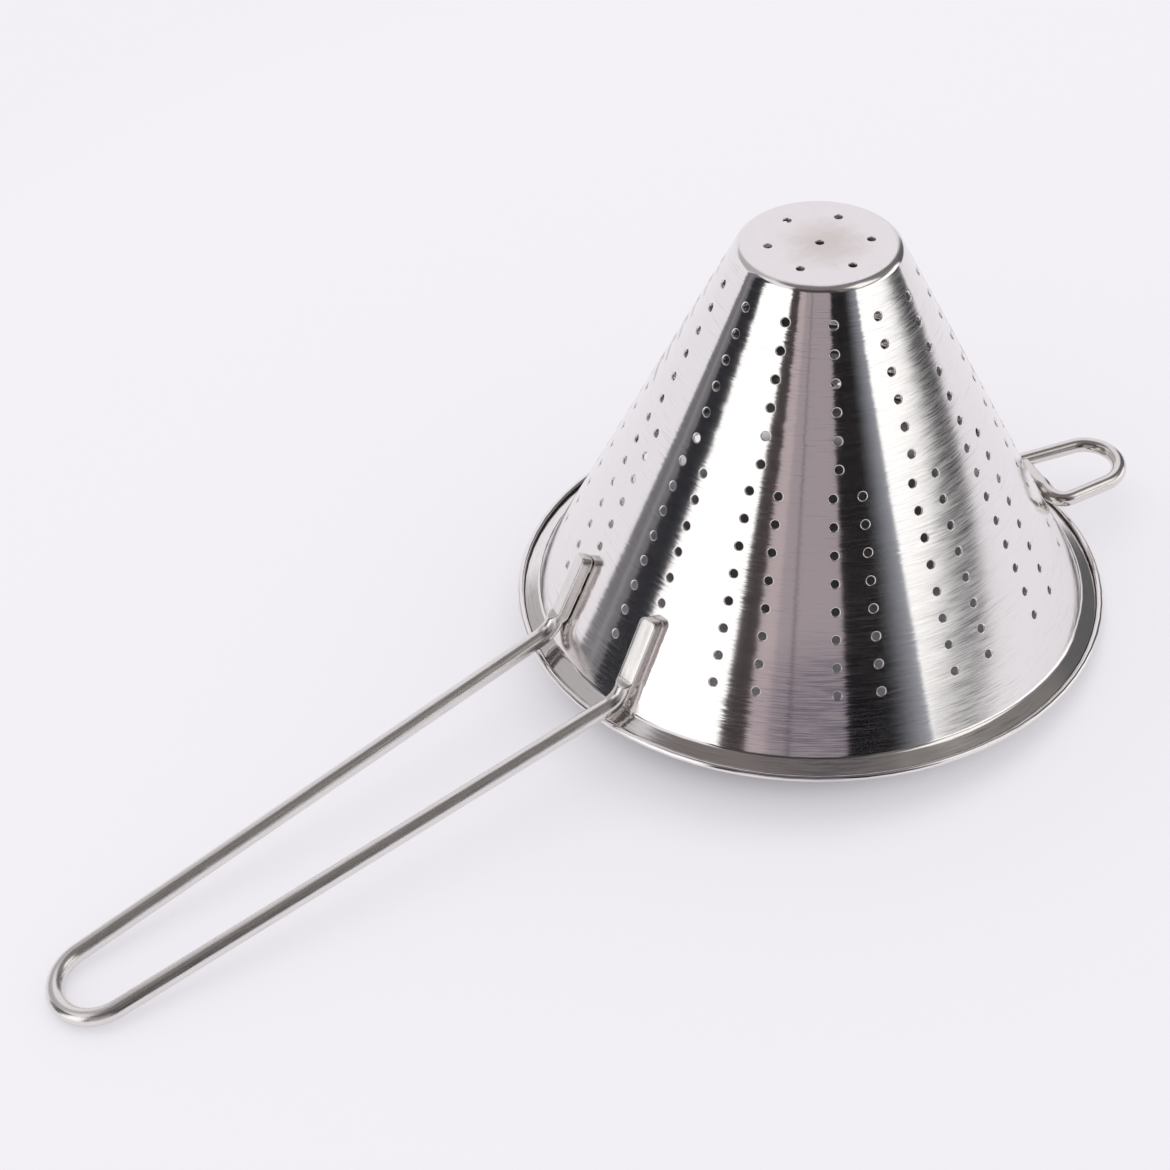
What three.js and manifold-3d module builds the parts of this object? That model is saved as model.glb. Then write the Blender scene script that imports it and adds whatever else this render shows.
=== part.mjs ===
// Conical strainer of stainless steel: a perforated cone with a rolled rim, a wire handle and a rest hook.
// It stands as it is put down to drain, mouth down, on the far edge of its rim and the tip of its handle.
// Units are millimetres and degrees, +Z is up, the handle points along -X, and the origin is on the table
// under the middle of the strainer.

import * as THREE from "three";
import { mergeGeometries, mergeVertices } from "three/addons/utils/BufferGeometryUtils.js";
import Module from "manifold-3d";

// Cone: one drawn sheet with a flat end, a flange and a rolled edge
const SHEET = 0.6; // thickness of the steel
const RIM_RADIUS = 90; // outermost edge of the rolled rim
const ROLL_RADIUS = 1.45; // outside radius of the rolled edge
const ROLL_SWEEP = 290; // how far round the edge is rolled
const FLANGE_WIDTH = 4.56; // from the foot of the cone to the start of the roll
const FLANGE_SLOPE = 14; // fall of the flange towards the roll
const FOOT_FILLET = 2; // hollow fillet between the cone and the flange
const HEIGHT = 124.7; // from the bottom of the rim to the flat end
const END_RADIUS = 23.3; // corner of the flat end, before it is rounded
const END_FILLET = 3; // rounding of that corner

// Holes, in columns that start single at the flat end and then split into pairs
const HOLE_RADIUS = 1.25;
const COLUMNS = 13;
const ROWS = 14;
const SINGLE_ROWS = 6; // how many of the rows are single, counted from the flat end
const FIRST_ROW = 9.6; // from the flat end down to the first row
const LAST_ROW = 19.9; // from the bottom of the rim up to the last row
const PAIR_AZIMUTH = -115.2; // middle of one pair of columns
const SINGLE_TURN = -2.6; // turn of a single column from the middle of its pair
const PAIR_HALF_ANGLE = 4.9; // turn of each paired column from the middle
const END_HOLES = 6; // holes in the flat end, round a middle one
const END_HOLE_RING = 14.8;
const END_HOLE_AZIMUTH = 32.5;

// Handle: one hairpin of round wire with its ends pressed flat against the cone
const WIRE_RADIUS = 2.7;
const HANDLE_REACH = 258; // from the cone's axis to the middle of the wire at the tip
const HANDLE_SLOPE = 13.25; // fall of the handle from the rim to the tip
const HANDLE_TIP_RADIUS = 13; // bend of the tip, at the middle of the wire
const TAB_HALF_ANGLE = 13; // turn of each leg's root from the middle of the handle
const TAB_TOP_HALF_ANGLE = 14.4; // turn of each pressed end's top from the middle of the handle
const TAB_LENGTH = 27;
const TAB_WIDTH = 5.8;
const TAB_THICKNESS = 3.7;
const TAB_SHOULDER = 4; // length over which the pressed end becomes round
const TAB_END_ROUNDING = 1.6; // rounding of the wire's cut end
const HANDLE_BEND = 9; // bend from the tab to the leg
const RIM_CLEARANCE = 0.6; // between the legs and the rolled rim below them

// Hook: one loop of thinner wire that lies level, with its base bar along the cone
const HOOK_AZIMUTH = -9.6;
const HOOK_HEIGHT = 14.2; // of the bar above the bottom of the rim
const HOOK_WIRE_RADIUS = 2.35;
const HOOK_REACH = 27; // from the bar to the middle of the wire at the end
const HOOK_END_RADIUS = 9; // bend of the hook's end, at the middle of the wire
const HOOK_HALF_WIDTH = 11.1; // half the width between the legs at the bar
const HOOK_CORNER = 4; // bend from the lower leg to the bar
const HOOK_LEAN = 6; // turn of the bar out of the level
const HOOK_RISE = 3.5; // rise of the loop away from the cone
const HOOK_BAR_THICKNESS = 3.6;
const HOOK_BAR_WIDTH = 4.8;

const SEAT = 0.3; // gap between two pieces that are welded together

// How finely round forms are divided
const FACETS_PER_COLUMN = 4;
const HOLE_SIDES = 6;
const WIRE_SIDES = 12;
const HOOK_SIDES = 10;
const FILLET_STEPS = 2;
const ROLL_STEPS = 6;
const BEND_STEPS = 5;
const TIP_STEPS = 8;

const radians = THREE.MathUtils.degToRad;
const wasm = await Module();
wasm.setup();

// A closed three.js geometry as a solid that can be joined and cut.
function toSolid(geometry) {
  const bare = geometry.clone();
  bare.deleteAttribute("normal");
  bare.deleteAttribute("uv");
  const merged = mergeVertices(bare, 1e-4);
  return new wasm.Manifold(
    new wasm.Mesh({
      numProp: 3,
      vertProperties: merged.attributes.position.array,
      triVerts: new Uint32Array(merged.index.array),
    }),
  );
}

// A solid as a three.js geometry.
function toGeometry(solid) {
  const mesh = solid.getMesh();
  const geometry = new THREE.BufferGeometry();
  geometry.setAttribute("position", new THREE.BufferAttribute(mesh.vertProperties, 3));
  geometry.setIndex(new THREE.BufferAttribute(mesh.triVerts, 1));
  geometry.computeVertexNormals();
  return geometry;
}

// Points of an arc of a circle in the plane, from one angle to another in radians.
function arcPoints(center, radius, from, to, steps) {
  return Array.from({ length: steps + 1 }, (_, i) => {
    const angle = from + ((to - from) * i) / steps;
    return new THREE.Vector2(Math.cos(angle), Math.sin(angle)).multiplyScalar(radius).add(center);
  });
}

// The corner b of the path a, b, c, rounded with an arc that touches both of its sides.
function roundedCorner(a, b, c, radius, steps) {
  const toA = a.clone().sub(b).normalize();
  const toC = c.clone().sub(b).normalize();
  const half = Math.acos(toA.dot(toC)) / 2;
  const center = toA.clone().add(toC).setLength(radius / Math.sin(half)).add(b);
  const start = toA.clone().multiplyScalar(radius / Math.tan(half)).add(b).sub(center).angle();
  const end = toC.clone().multiplyScalar(radius / Math.tan(half)).add(b).sub(center).angle();
  const turn = THREE.MathUtils.euclideanModulo(end - start + Math.PI, 2 * Math.PI) - Math.PI;
  return arcPoints(center, radius, start, start + turn, steps);
}

// Where the lines a-b and c-d cross in the plane.
function crossing(a, b, c, d) {
  const ab = b.clone().sub(a);
  const cd = d.clone().sub(c);
  return a.clone().addScaledVector(ab, c.clone().sub(a).cross(cd) / ab.cross(cd));
}

// The sheet's section as radius and height: its middle lines, corners and the centre of its roll.
const flangeDown = new THREE.Vector2(Math.cos(radians(FLANGE_SLOPE)), -Math.sin(radians(FLANGE_SLOPE)));
const flangeUp = new THREE.Vector2(-flangeDown.y, flangeDown.x);
const rollCenter = new THREE.Vector2(RIM_RADIUS - ROLL_RADIUS, ROLL_RADIUS);
const rollStart = rollCenter.clone().addScaledVector(flangeUp, SHEET - ROLL_RADIUS);
const foot = rollStart.clone().addScaledVector(flangeDown, -FLANGE_WIDTH);
const endCorner = new THREE.Vector2(END_RADIUS, HEIGHT);
const coneUp = endCorner.clone().sub(foot).normalize();
const coneOut = new THREE.Vector2(coneUp.y, -coneUp.x);
const coneTangent = -coneUp.x / coneUp.y;

// Outside radius of the cone at a height.
const coneRadius = (height) => foot.x - (height - foot.y) * coneTangent;

// Half of the sheet's section, from the axis along the inside to the roll and back along the outside.
function coneProfile() {
  const endMiddle = new THREE.Vector2(0, HEIGHT);
  const insideEnd = new THREE.Vector2(0, HEIGHT - SHEET);
  const insideFlange = rollCenter.clone().addScaledVector(flangeUp, -ROLL_RADIUS);
  const insideConeTop = endCorner.clone().addScaledVector(coneOut, -SHEET);
  const insideConeFoot = foot.clone().addScaledVector(coneOut, -SHEET);
  const insideCorner = crossing(
    insideEnd,
    new THREE.Vector2(END_RADIUS, HEIGHT - SHEET),
    insideConeTop,
    insideConeFoot,
  );
  const insideFoot = crossing(
    insideConeTop,
    insideConeFoot,
    insideFlange,
    insideFlange.clone().addScaledVector(flangeDown, -FLANGE_WIDTH),
  );
  const rollFrom = flangeUp.angle() - Math.PI;
  const rollTo = rollFrom + radians(ROLL_SWEEP);
  return [
    insideEnd,
    ...roundedCorner(insideEnd, insideCorner, insideFoot, END_FILLET - SHEET, FILLET_STEPS),
    ...roundedCorner(insideCorner, insideFoot, insideFlange, FOOT_FILLET + SHEET, FILLET_STEPS),
    ...arcPoints(rollCenter, ROLL_RADIUS, rollFrom, rollTo, ROLL_STEPS),
    ...arcPoints(rollCenter, ROLL_RADIUS - SHEET, rollTo, rollFrom, ROLL_STEPS),
    ...roundedCorner(rollStart, foot, endCorner, FOOT_FILLET, FILLET_STEPS),
    ...roundedCorner(foot, endCorner, endMiddle, END_FILLET, FILLET_STEPS),
    endMiddle,
  ];
}

// A cutter for one hole: a pyramid that points into the strainer and has the hole's size at the surface.
// It is so slender that the hole narrows by only a few hundredths of a millimetre through the sheet.
function holeCutter(position, outward) {
  const depth = 20 * SHEET;
  const above = 2 * SHEET;
  const baseRadius = (HOLE_RADIUS * (depth + above)) / depth;
  const cutter = new THREE.ConeGeometry(baseRadius, depth + above, HOLE_SIDES);
  cutter.translate(0, (depth - above) / 2, 0);
  const turn = new THREE.Quaternion().setFromUnitVectors(new THREE.Vector3(0, -1, 0), outward);
  return cutter.applyQuaternion(turn).translate(position.x, position.y, position.z);
}

// A cutter in the cone's wall, at an azimuth and a height.
function wallHole(azimuth, height) {
  const position = new THREE.Vector3(coneRadius(height), 0, height);
  const outward = new THREE.Vector3(coneOut.x, 0, coneOut.y);
  const axis = new THREE.Vector3(0, 0, 1);
  return holeCutter(
    position.applyAxisAngle(axis, radians(azimuth)),
    outward.applyAxisAngle(axis, radians(azimuth)),
  );
}

// All cutters: rows of single holes, rows of paired holes, and the ring and middle hole of the flat end.
function holeCutters() {
  const cutters = [];
  const sector = 360 / COLUMNS;
  for (let row = 0; row < ROWS; row++) {
    const turns = row < SINGLE_ROWS ? [SINGLE_TURN] : [-PAIR_HALF_ANGLE, PAIR_HALF_ANGLE];
    const height = THREE.MathUtils.lerp(HEIGHT - FIRST_ROW, LAST_ROW, row / (ROWS - 1));
    for (let column = 0; column < COLUMNS; column++)
      for (const turn of turns) cutters.push(wallHole(PAIR_AZIMUTH + column * sector + turn, height));
  }
  const up = new THREE.Vector3(0, 0, 1);
  cutters.push(holeCutter(new THREE.Vector3(0, 0, HEIGHT), up));
  for (let i = 0; i < END_HOLES; i++) {
    const azimuth = radians(END_HOLE_AZIMUTH + (i * 360) / END_HOLES);
    const position = new THREE.Vector3(Math.cos(azimuth), Math.sin(azimuth), 0);
    cutters.push(holeCutter(position.multiplyScalar(END_HOLE_RING).setZ(HEIGHT), up));
  }
  return mergeGeometries(cutters);
}

// The perforated sheet: its section revolved round the axis, with a facet edge at the middle of each pair.
function coneGeometry() {
  const facets = COLUMNS * FACETS_PER_COLUMN;
  const shell = new THREE.LatheGeometry(coneProfile(), facets);
  shell.rotateX(Math.PI / 2);
  shell.rotateZ(radians(PAIR_AZIMUTH) + Math.PI / 2);
  return toGeometry(toSolid(shell).subtract(toSolid(holeCutters())));
}

// The section of a wire: half its width, and how far it reaches to its inner and outer side.
// Squareness 2 is round, and more presses the sides flat.
function wireSection(radius, width, thickness, pressed) {
  return {
    half: THREE.MathUtils.lerp(radius, width / 2, pressed),
    inner: radius,
    outer: THREE.MathUtils.lerp(radius, thickness - radius, pressed),
    squareness: THREE.MathUtils.lerp(2, 5, pressed),
  };
}

// A ring of points round a station of a wire, in the plane across its run.
function wireRing(station, sides) {
  const across = new THREE.Vector3().crossVectors(station.outward, station.run).normalize();
  const outward = new THREE.Vector3().crossVectors(station.run, across).normalize();
  const { half, inner, outer, squareness } = station.section;
  const power = 2 / squareness;
  return Array.from({ length: sides }, (_, i) => {
    const angle = (2 * Math.PI * i) / sides;
    const c = Math.cos(angle);
    const s = Math.sin(angle);
    const x = Math.sign(c) * Math.abs(c) ** power * half * station.scale;
    const y = Math.sign(s) * Math.abs(s) ** power * (s > 0 ? outer : inner) * station.scale;
    return station.point.clone().addScaledVector(across, x).addScaledVector(outward, y);
  });
}

// A closed skin over rings of points, with a flat cap on each end.
function skinRings(rings) {
  const sides = rings[0].length;
  const points = rings.flat();
  const faces = [];
  for (let r = 0; r + 1 < rings.length; r++)
    for (let i = 0; i < sides; i++) {
      const a = r * sides + i;
      const b = r * sides + ((i + 1) % sides);
      faces.push(a, b, b + sides, a, b + sides, a + sides);
    }
  const last = points.length - sides;
  for (let i = 1; i + 1 < sides; i++) faces.push(0, i + 1, i, last, last + i, last + i + 1);
  const geometry = new THREE.BufferGeometry().setFromPoints(points);
  geometry.setIndex(faces);
  geometry.computeVertexNormals();
  return geometry;
}

// Where a straight leg from a point touches the round end, in the flat plane of a loop.
function touchingAngle(from, center, radius) {
  const offset = from.clone().sub(center);
  return Math.atan2(offset.y, offset.x) - Math.acos(radius / offset.length());
}

// Stations along a curve, with the way out of the loop's plane or of the cone at each.
function stationsAlong(curve, shares, outwardAt, section) {
  return shares.map((share) => ({
    point: curve.getPoint(share),
    run: curve.getTangent(share),
    outward: outwardAt(share),
    section,
    scale: 1,
  }));
}

const evenShares = (steps) => Array.from({ length: steps }, (_, i) => (i + 1) / steps);

// An arc in a tilted plane that is spanned by two directions, about a centre.
class LoopArc extends THREE.Curve {
  constructor(center, along, across, radius, from, to) {
    super();
    Object.assign(this, { center, along, across, radius, from, to });
  }
  getPoint(share, target = new THREE.Vector3()) {
    const angle = THREE.MathUtils.lerp(this.from, this.to, share);
    return target
      .copy(this.center)
      .addScaledVector(this.along, this.radius * Math.cos(angle))
      .addScaledVector(this.across, this.radius * Math.sin(angle));
  }
}

// The handle along +X: half of the hairpin from a pressed end to the tip, and its mirror image.
function handleGeometry() {
  const slope = radians(HANDLE_SLOPE);
  const tabTurn = radians(TAB_HALF_ANGLE);
  const along = new THREE.Vector3(Math.cos(slope), 0, -Math.sin(slope));
  const across = new THREE.Vector3(0, 1, 0);
  const planeUp = new THREE.Vector3(Math.sin(slope), 0, Math.cos(slope));
  const coneNormal = new THREE.Vector3(coneOut.x, 0, coneOut.y);
  coneNormal.applyAxisAngle(new THREE.Vector3(0, 0, 1), radians(TAB_HALF_ANGLE + TAB_TOP_HALF_ANGLE) / 2);

  // The legs' plane passes over the rim, and the corner is where the wire along the cone meets it.
  const rimX = rollCenter.x * Math.cos(tabTurn);
  const rimZ = 2 * ROLL_RADIUS + RIM_CLEARANCE + WIRE_RADIUS / Math.cos(slope);
  const wireOffset = (SEAT + WIRE_RADIUS) / coneOut.x;
  const axisRadius = coneRadius(0) + wireOffset;
  const fall = Math.tan(slope);
  const cornerZ =
    (rimZ - (axisRadius * Math.cos(tabTurn) - rimX) * fall) / (1 - coneTangent * Math.cos(tabTurn) * fall);
  const onCone = (turn, height) => {
    const radius = axisRadius - height * coneTangent;
    return new THREE.Vector3(radius * Math.cos(turn), radius * Math.sin(turn), height);
  };
  const corner = onCone(tabTurn, cornerZ);
  const tabTop = onCone(radians(TAB_TOP_HALF_ANGLE), cornerZ + TAB_LENGTH * coneUp.y);

  // In the legs' plane: the tip's centre, and the point where the straight leg touches its arc.
  const tipX = HANDLE_REACH - HANDLE_TIP_RADIUS * Math.cos(slope);
  const tipCenter = new THREE.Vector3(tipX, 0, rimZ - (tipX - rimX) * fall);
  const flat = new THREE.Vector2(corner.clone().sub(tipCenter).dot(along), corner.y);
  const touch = touchingAngle(flat, new THREE.Vector2(), HANDLE_TIP_RADIUS);
  const tip = new LoopArc(tipCenter, along, across, HANDLE_TIP_RADIUS, touch, 0);
  const legEnd = tip.getPoint(0);

  const intoTab = tabTop.clone().sub(corner).normalize();
  const intoLeg = legEnd.clone().sub(corner).normalize();
  const bendLength = HANDLE_BEND * Math.tan((Math.PI - intoTab.angleTo(intoLeg)) / 2);
  const bendStart = corner.clone().addScaledVector(intoTab, bendLength);
  const bendEnd = corner.clone().addScaledVector(intoLeg, bendLength);
  const tab = new THREE.LineCurve3(tabTop, bendStart);
  const bend = new THREE.QuadraticBezierCurve3(bendStart, corner, bendEnd);

  const round = wireSection(WIRE_RADIUS, TAB_WIDTH, TAB_THICKNESS, 0);
  const pressed = wireSection(WIRE_RADIUS, TAB_WIDTH, TAB_THICKNESS, 1);
  const length = tab.getLength();
  const tabShares = [0, 0.4, 1].map((k) => (k * TAB_END_ROUNDING) / length);
  const tabStations = stationsAlong(tab, [...tabShares, 1 - TAB_SHOULDER / length], () => coneNormal, pressed);
  tabStations[0].scale = 0.62;
  tabStations[1].scale = 0.88;
  const half = [
    ...tabStations,
    ...stationsAlong(tab, [1], () => coneNormal, round),
    ...stationsAlong(bend, evenShares(BEND_STEPS), (k) => coneNormal.clone().lerp(planeUp, k), round),
    ...stationsAlong(tip, [0, ...evenShares(TIP_STEPS)], () => planeUp, round),
  ].map((station) => wireRing(station, WIRE_SIDES));
  const mirrored = half
    .slice(0, -1)
    .reverse()
    .map((ring) => ring.map((p) => new THREE.Vector3(p.x, -p.y, p.z)));
  return skinRings([...half, ...mirrored]);
}

// The hook along +X: an open loop from its upper leg round the end to the lower leg and along the cone.
function hookGeometry() {
  const lean = radians(HOOK_LEAN);
  const rise = radians(HOOK_RISE);
  const normal = new THREE.Vector3(coneOut.x, 0, coneOut.y);
  const alongCone = new THREE.Vector3(coneUp.x, 0, coneUp.y);
  const out = new THREE.Vector3(Math.cos(rise), 0, Math.sin(rise));
  const side = new THREE.Vector3(0, Math.cos(lean), 0).addScaledVector(alongCone, Math.sin(lean));
  const base = new THREE.Vector3(coneRadius(HOOK_HEIGHT), 0, HOOK_HEIGHT);
  base.addScaledVector(normal, SEAT + HOOK_WIRE_RADIUS);
  const at = (s, t) => base.clone().addScaledVector(out, s).addScaledVector(side, t);

  const endCenter = new THREE.Vector2(HOOK_REACH - HOOK_END_RADIUS, 0);
  const touch = touchingAngle(new THREE.Vector2(0, HOOK_HALF_WIDTH), endCenter, HOOK_END_RADIUS);
  const end = new LoopArc(at(endCenter.x, 0), out, side, HOOK_END_RADIUS, touch, -touch);
  const upperRoot = at(-0.75 * HOOK_WIRE_RADIUS, HOOK_HALF_WIDTH);
  const corner = at(0, -HOOK_HALF_WIDTH);
  const barEnd = at(0, HOOK_HALF_WIDTH - HOOK_WIRE_RADIUS - SEAT);
  const intoLeg = end.getPoint(1).sub(corner).normalize();
  const intoBar = barEnd.clone().sub(corner).normalize();
  const bendLength = HOOK_CORNER * Math.tan((Math.PI - intoLeg.angleTo(intoBar)) / 2);
  const bendStart = corner.clone().addScaledVector(intoLeg, bendLength);
  const bendEnd = corner.clone().addScaledVector(intoBar, bendLength);
  const upperLeg = new THREE.LineCurve3(upperRoot, end.getPoint(0));
  const bend = new THREE.QuadraticBezierCurve3(bendStart, corner, bendEnd);
  const bar = new THREE.LineCurve3(bendEnd, barEnd);

  const loopUp = new THREE.Vector3().crossVectors(out, side).normalize();
  const loopOut = (run) => new THREE.Vector3().crossVectors(run, loopUp);
  const round = wireSection(HOOK_WIRE_RADIUS, HOOK_BAR_WIDTH, HOOK_BAR_THICKNESS, 0);
  const pressed = wireSection(HOOK_WIRE_RADIUS, HOOK_BAR_WIDTH, HOOK_BAR_THICKNESS, 1);
  const inward = (curve) => (share) => loopOut(curve.getTangent(share));
  const stations = [
    ...stationsAlong(upperLeg, [0], inward(upperLeg), round),
    ...stationsAlong(end, [0, ...evenShares(2 * TIP_STEPS)], inward(end), round),
    ...stationsAlong(bend, [0, ...evenShares(BEND_STEPS - 1)], inward(bend), round),
    ...stationsAlong(bar, [HOOK_WIRE_RADIUS / bar.getLength(), 1], inward(bar), pressed),
  ];
  return skinRings(stations.map((station) => wireRing(station, HOOK_SIDES)));
}

// A named piece with a material of its own.
function piece(name, geometry, color, roughness) {
  const material = new THREE.MeshStandardMaterial({ color, roughness, metalness: 1 });
  const mesh = new THREE.Mesh(geometry, material);
  mesh.name = name;
  return mesh;
}

const cone = piece("strainer_cone", coneGeometry(), 0xc9c7c6, 0.22);
const handle = piece("handle_wire", handleGeometry(), 0xbdbab7, 0.3);
handle.rotation.z = Math.PI;
const hook = piece("rest_hook", hookGeometry(), 0xcfccc8, 0.18);
hook.rotation.z = radians(HOOK_AZIMUTH);

// The strainer leans until the far edge of its rim and the tip of its handle lie on the table.
const tipDrop = (HANDLE_REACH - rollCenter.x * Math.cos(radians(TAB_HALF_ANGLE))) * Math.tan(radians(HANDLE_SLOPE));
const tipHeight = 2 * ROLL_RADIUS + RIM_CLEARANCE + WIRE_RADIUS / Math.cos(radians(HANDLE_SLOPE)) - tipDrop;
const span = new THREE.Vector2(rollCenter.x + HANDLE_REACH, rollCenter.y - tipHeight);
const lean = span.angle() + Math.asin((WIRE_RADIUS - ROLL_RADIUS) / span.length());

const leaning = new THREE.Group();
leaning.add(cone, handle, hook);
leaning.rotation.y = lean;

// The origin lies on the table under the middle of the strainer.
const box = new THREE.Box3().setFromObject(leaning, true);
const middle = box.getCenter(new THREE.Vector3());
leaning.position.set(-middle.x, -middle.y, -box.min.z);

const strainer = new THREE.Group();
strainer.add(leaning);

export default strainer;
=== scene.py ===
"""Looks of a conical strainer of stainless steel with a wire handle and a wire rest hook.

The solids of the part are the fixed frame. Each of its three nodes is replaced by a finer surface that is
worked out as whole arrays in the cone's own frame: millimetres, +Z along the cone's axis away from the mouth,
the bottom of the rim at height 0 and the handle along -X. A stance then leans that frame onto the table.
"""

import logging
import math
from dataclasses import dataclass, field
from enum import Enum
from typing import ClassVar

import bpy
import numpy as np
from mathutils import Matrix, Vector
from numpy.typing import NDArray


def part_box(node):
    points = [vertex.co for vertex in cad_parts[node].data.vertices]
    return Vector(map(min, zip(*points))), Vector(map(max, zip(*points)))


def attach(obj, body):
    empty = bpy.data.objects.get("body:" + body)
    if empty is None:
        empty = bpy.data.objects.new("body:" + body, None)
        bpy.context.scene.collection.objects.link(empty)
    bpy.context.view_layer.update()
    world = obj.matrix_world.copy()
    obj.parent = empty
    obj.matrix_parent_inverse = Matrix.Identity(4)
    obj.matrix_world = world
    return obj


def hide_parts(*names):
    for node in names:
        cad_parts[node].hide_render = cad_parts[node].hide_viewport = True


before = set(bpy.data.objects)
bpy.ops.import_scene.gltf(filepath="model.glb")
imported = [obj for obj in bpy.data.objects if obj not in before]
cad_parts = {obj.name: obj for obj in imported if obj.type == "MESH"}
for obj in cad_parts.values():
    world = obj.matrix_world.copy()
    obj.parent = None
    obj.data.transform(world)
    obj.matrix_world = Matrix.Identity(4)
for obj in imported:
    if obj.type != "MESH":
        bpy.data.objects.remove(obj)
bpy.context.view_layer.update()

Array = NDArray[np.float64]
Ints = NDArray[np.int64]
Pair = tuple[float, float]
Triple = tuple[float, float, float]
Socket = bpy.types.NodeSocket
LOG = logging.getLogger("strainer")

MM_PER_METRE = 1000.0
WELD_DECIMALS = 4
HALF_TURN = 180.0


class Node(Enum):
    """The solids of the part that the finer pieces stand for."""

    CONE = "strainer_cone"
    HANDLE = "handle_wire"
    HOOK = "rest_hook"


class Slot(Enum):
    """The material slots of the part's record."""

    SHEET = "polished_sheet"
    HANDLE = "handle_steel"
    HOOK = "hook_steel"


class Facing(Enum):
    """Which way a curved stretch of the sheet looks: away from the middle of its curve or towards it."""

    AWAY = 1.0
    TOWARDS = -1.0


def unit(vectors: Array) -> Array:
    """Scales vectors to length 1.

    Args:
        vectors: vectors in the last axis.

    Returns:
        The same directions with length 1.
    """
    return vectors / np.linalg.norm(vectors, axis=-1, keepdims=True)


def smooth_step(share: Array) -> Array:
    """Eases a share from 0 to 1 with level ends: 3 s squared minus 2 s cubed.

    Args:
        share: any values, cut to the range 0 to 1.

    Returns:
        The eased share.
    """
    cut = np.clip(share, 0.0, 1.0)
    return cut * cut * (3.0 - 2.0 * cut)


def turn_matrix(axis: str, degrees: float) -> Array:
    """Gives the matrix of a turn about a main axis.

    Args:
        axis: X, Y or Z.
        degrees: right-handed turn.

    Returns:
        A 3 by 3 matrix for column vectors.
    """
    return np.array(Matrix.Rotation(math.radians(degrees), 3, axis))


def rays(angles: Array | float) -> Array:
    """Gives the direction in a plane at each angle in radians: its cosine and its sine."""
    return np.stack([np.cos(angles), np.sin(angles)], -1)


def way_along(points: Array) -> Array:
    """Gives the way along a chain of points up to each of them: the running sum of its steps' lengths."""
    steps = np.linalg.norm(np.diff(points, axis=0), axis=1)
    return np.concatenate([[0.0], np.cumsum(steps)])


def link_object(name: str, data: bpy.types.ID) -> bpy.types.Object:
    """Makes an object of some data and puts it into the scene.

    Args:
        name: name of the new object.
        data: its mesh, lamp or camera.

    Returns:
        The new object.
    """
    made = bpy.data.objects.new(name, data)
    bpy.context.scene.collection.objects.link(made)
    return made


@dataclass
class Patch:
    """A piece of surface: points in the cone's frame, their normals, flat coordinates and faces.

    Faces are rows of four corners; a triangle repeats its last corner. A patch without normals is shaded
    smoothly by its faces' own.
    """

    points: Array
    normals: Array
    flat: Array
    faces: Ints

    @staticmethod
    def from_grid(points: Array, normals: Array, flat: Array) -> "Patch":
        """Makes a patch of a grid of points, with one face between each four neighbours.

        Args:
            points: grid of points, rows by columns by 3.
            normals: grid of normals of the same shape, or none.
            flat: grid of flat coordinates, rows by columns by 2.

        Returns:
            The patch, whose faces look along rows crossed with columns.
        """
        rows, columns = points.shape[:2]
        index = np.arange(rows * columns).reshape(rows, columns)
        faces = np.stack([index[:-1, :-1], index[1:, :-1], index[1:, 1:], index[:-1, 1:]], -1)
        return Patch(points.reshape(-1, 3), normals.reshape(-1, 3), flat.reshape(-1, 2), faces.reshape(-1, 4))

    @staticmethod
    def join(patches: list["Patch"]) -> "Patch":
        """Puts several patches into one, without welding them."""
        starts = np.cumsum([0] + [len(patch.points) for patch in patches[:-1]])
        return Patch(
            np.concatenate([patch.points for patch in patches]),
            np.concatenate([patch.normals for patch in patches]),
            np.concatenate([patch.flat for patch in patches]),
            np.concatenate([patch.faces + start for patch, start in zip(patches, starts)]),
        )


@dataclass
class Stance:
    """How the strainer stands on the table: on the far edge of its rim and the tip of its handle.

    The lean is the slope of the line that touches both rounds from below. A point p of the cone's frame
    stands at turn times p plus shift, in millimetres of the part's frame.
    """

    rim_middle: Pair
    rim_round: float
    tip_middle: Pair
    tip_round: float
    turn: Array = field(init=False)
    shift: Array = field(init=False)

    def __post_init__(self) -> None:
        """Works out the turn from the two rounds and the shift from the handle's solid."""
        run = self.rim_middle[0] - self.tip_middle[0]
        rise = self.rim_middle[1] - self.tip_middle[1]
        lean = math.atan2(rise, run) + math.asin((self.tip_round - self.rim_round) / math.hypot(run, rise))
        self.turn = turn_matrix("Y", math.degrees(lean))
        tip = self.turn @ np.array([self.tip_middle[0], 0.0, self.tip_middle[1]])
        low = MM_PER_METRE * np.array(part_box(Node.HANDLE.value)[0])
        self.shift = np.array([low[0] - tip[0] + self.tip_round, 0.0, low[2] - tip[2] + self.tip_round])

    def place(self, points: Array) -> Array:
        """Takes points from the cone's frame to the part's frame, in metres."""
        return (points @ self.turn.T + self.shift) / MM_PER_METRE

    def direct(self, vectors: Array) -> Array:
        """Takes directions from the cone's frame to the part's frame."""
        return vectors @ self.turn.T

    def mapping(self) -> tuple[Triple, Triple]:
        """Works out the texture mapping from the part's frame back into the cone's frame.

        Returns:
            Its location in metres and its turn in radians.
        """
        back = Matrix(self.turn.T.tolist())
        place = -(self.turn.T @ self.shift) / MM_PER_METRE
        return tuple(place), tuple(back.to_euler())


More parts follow.
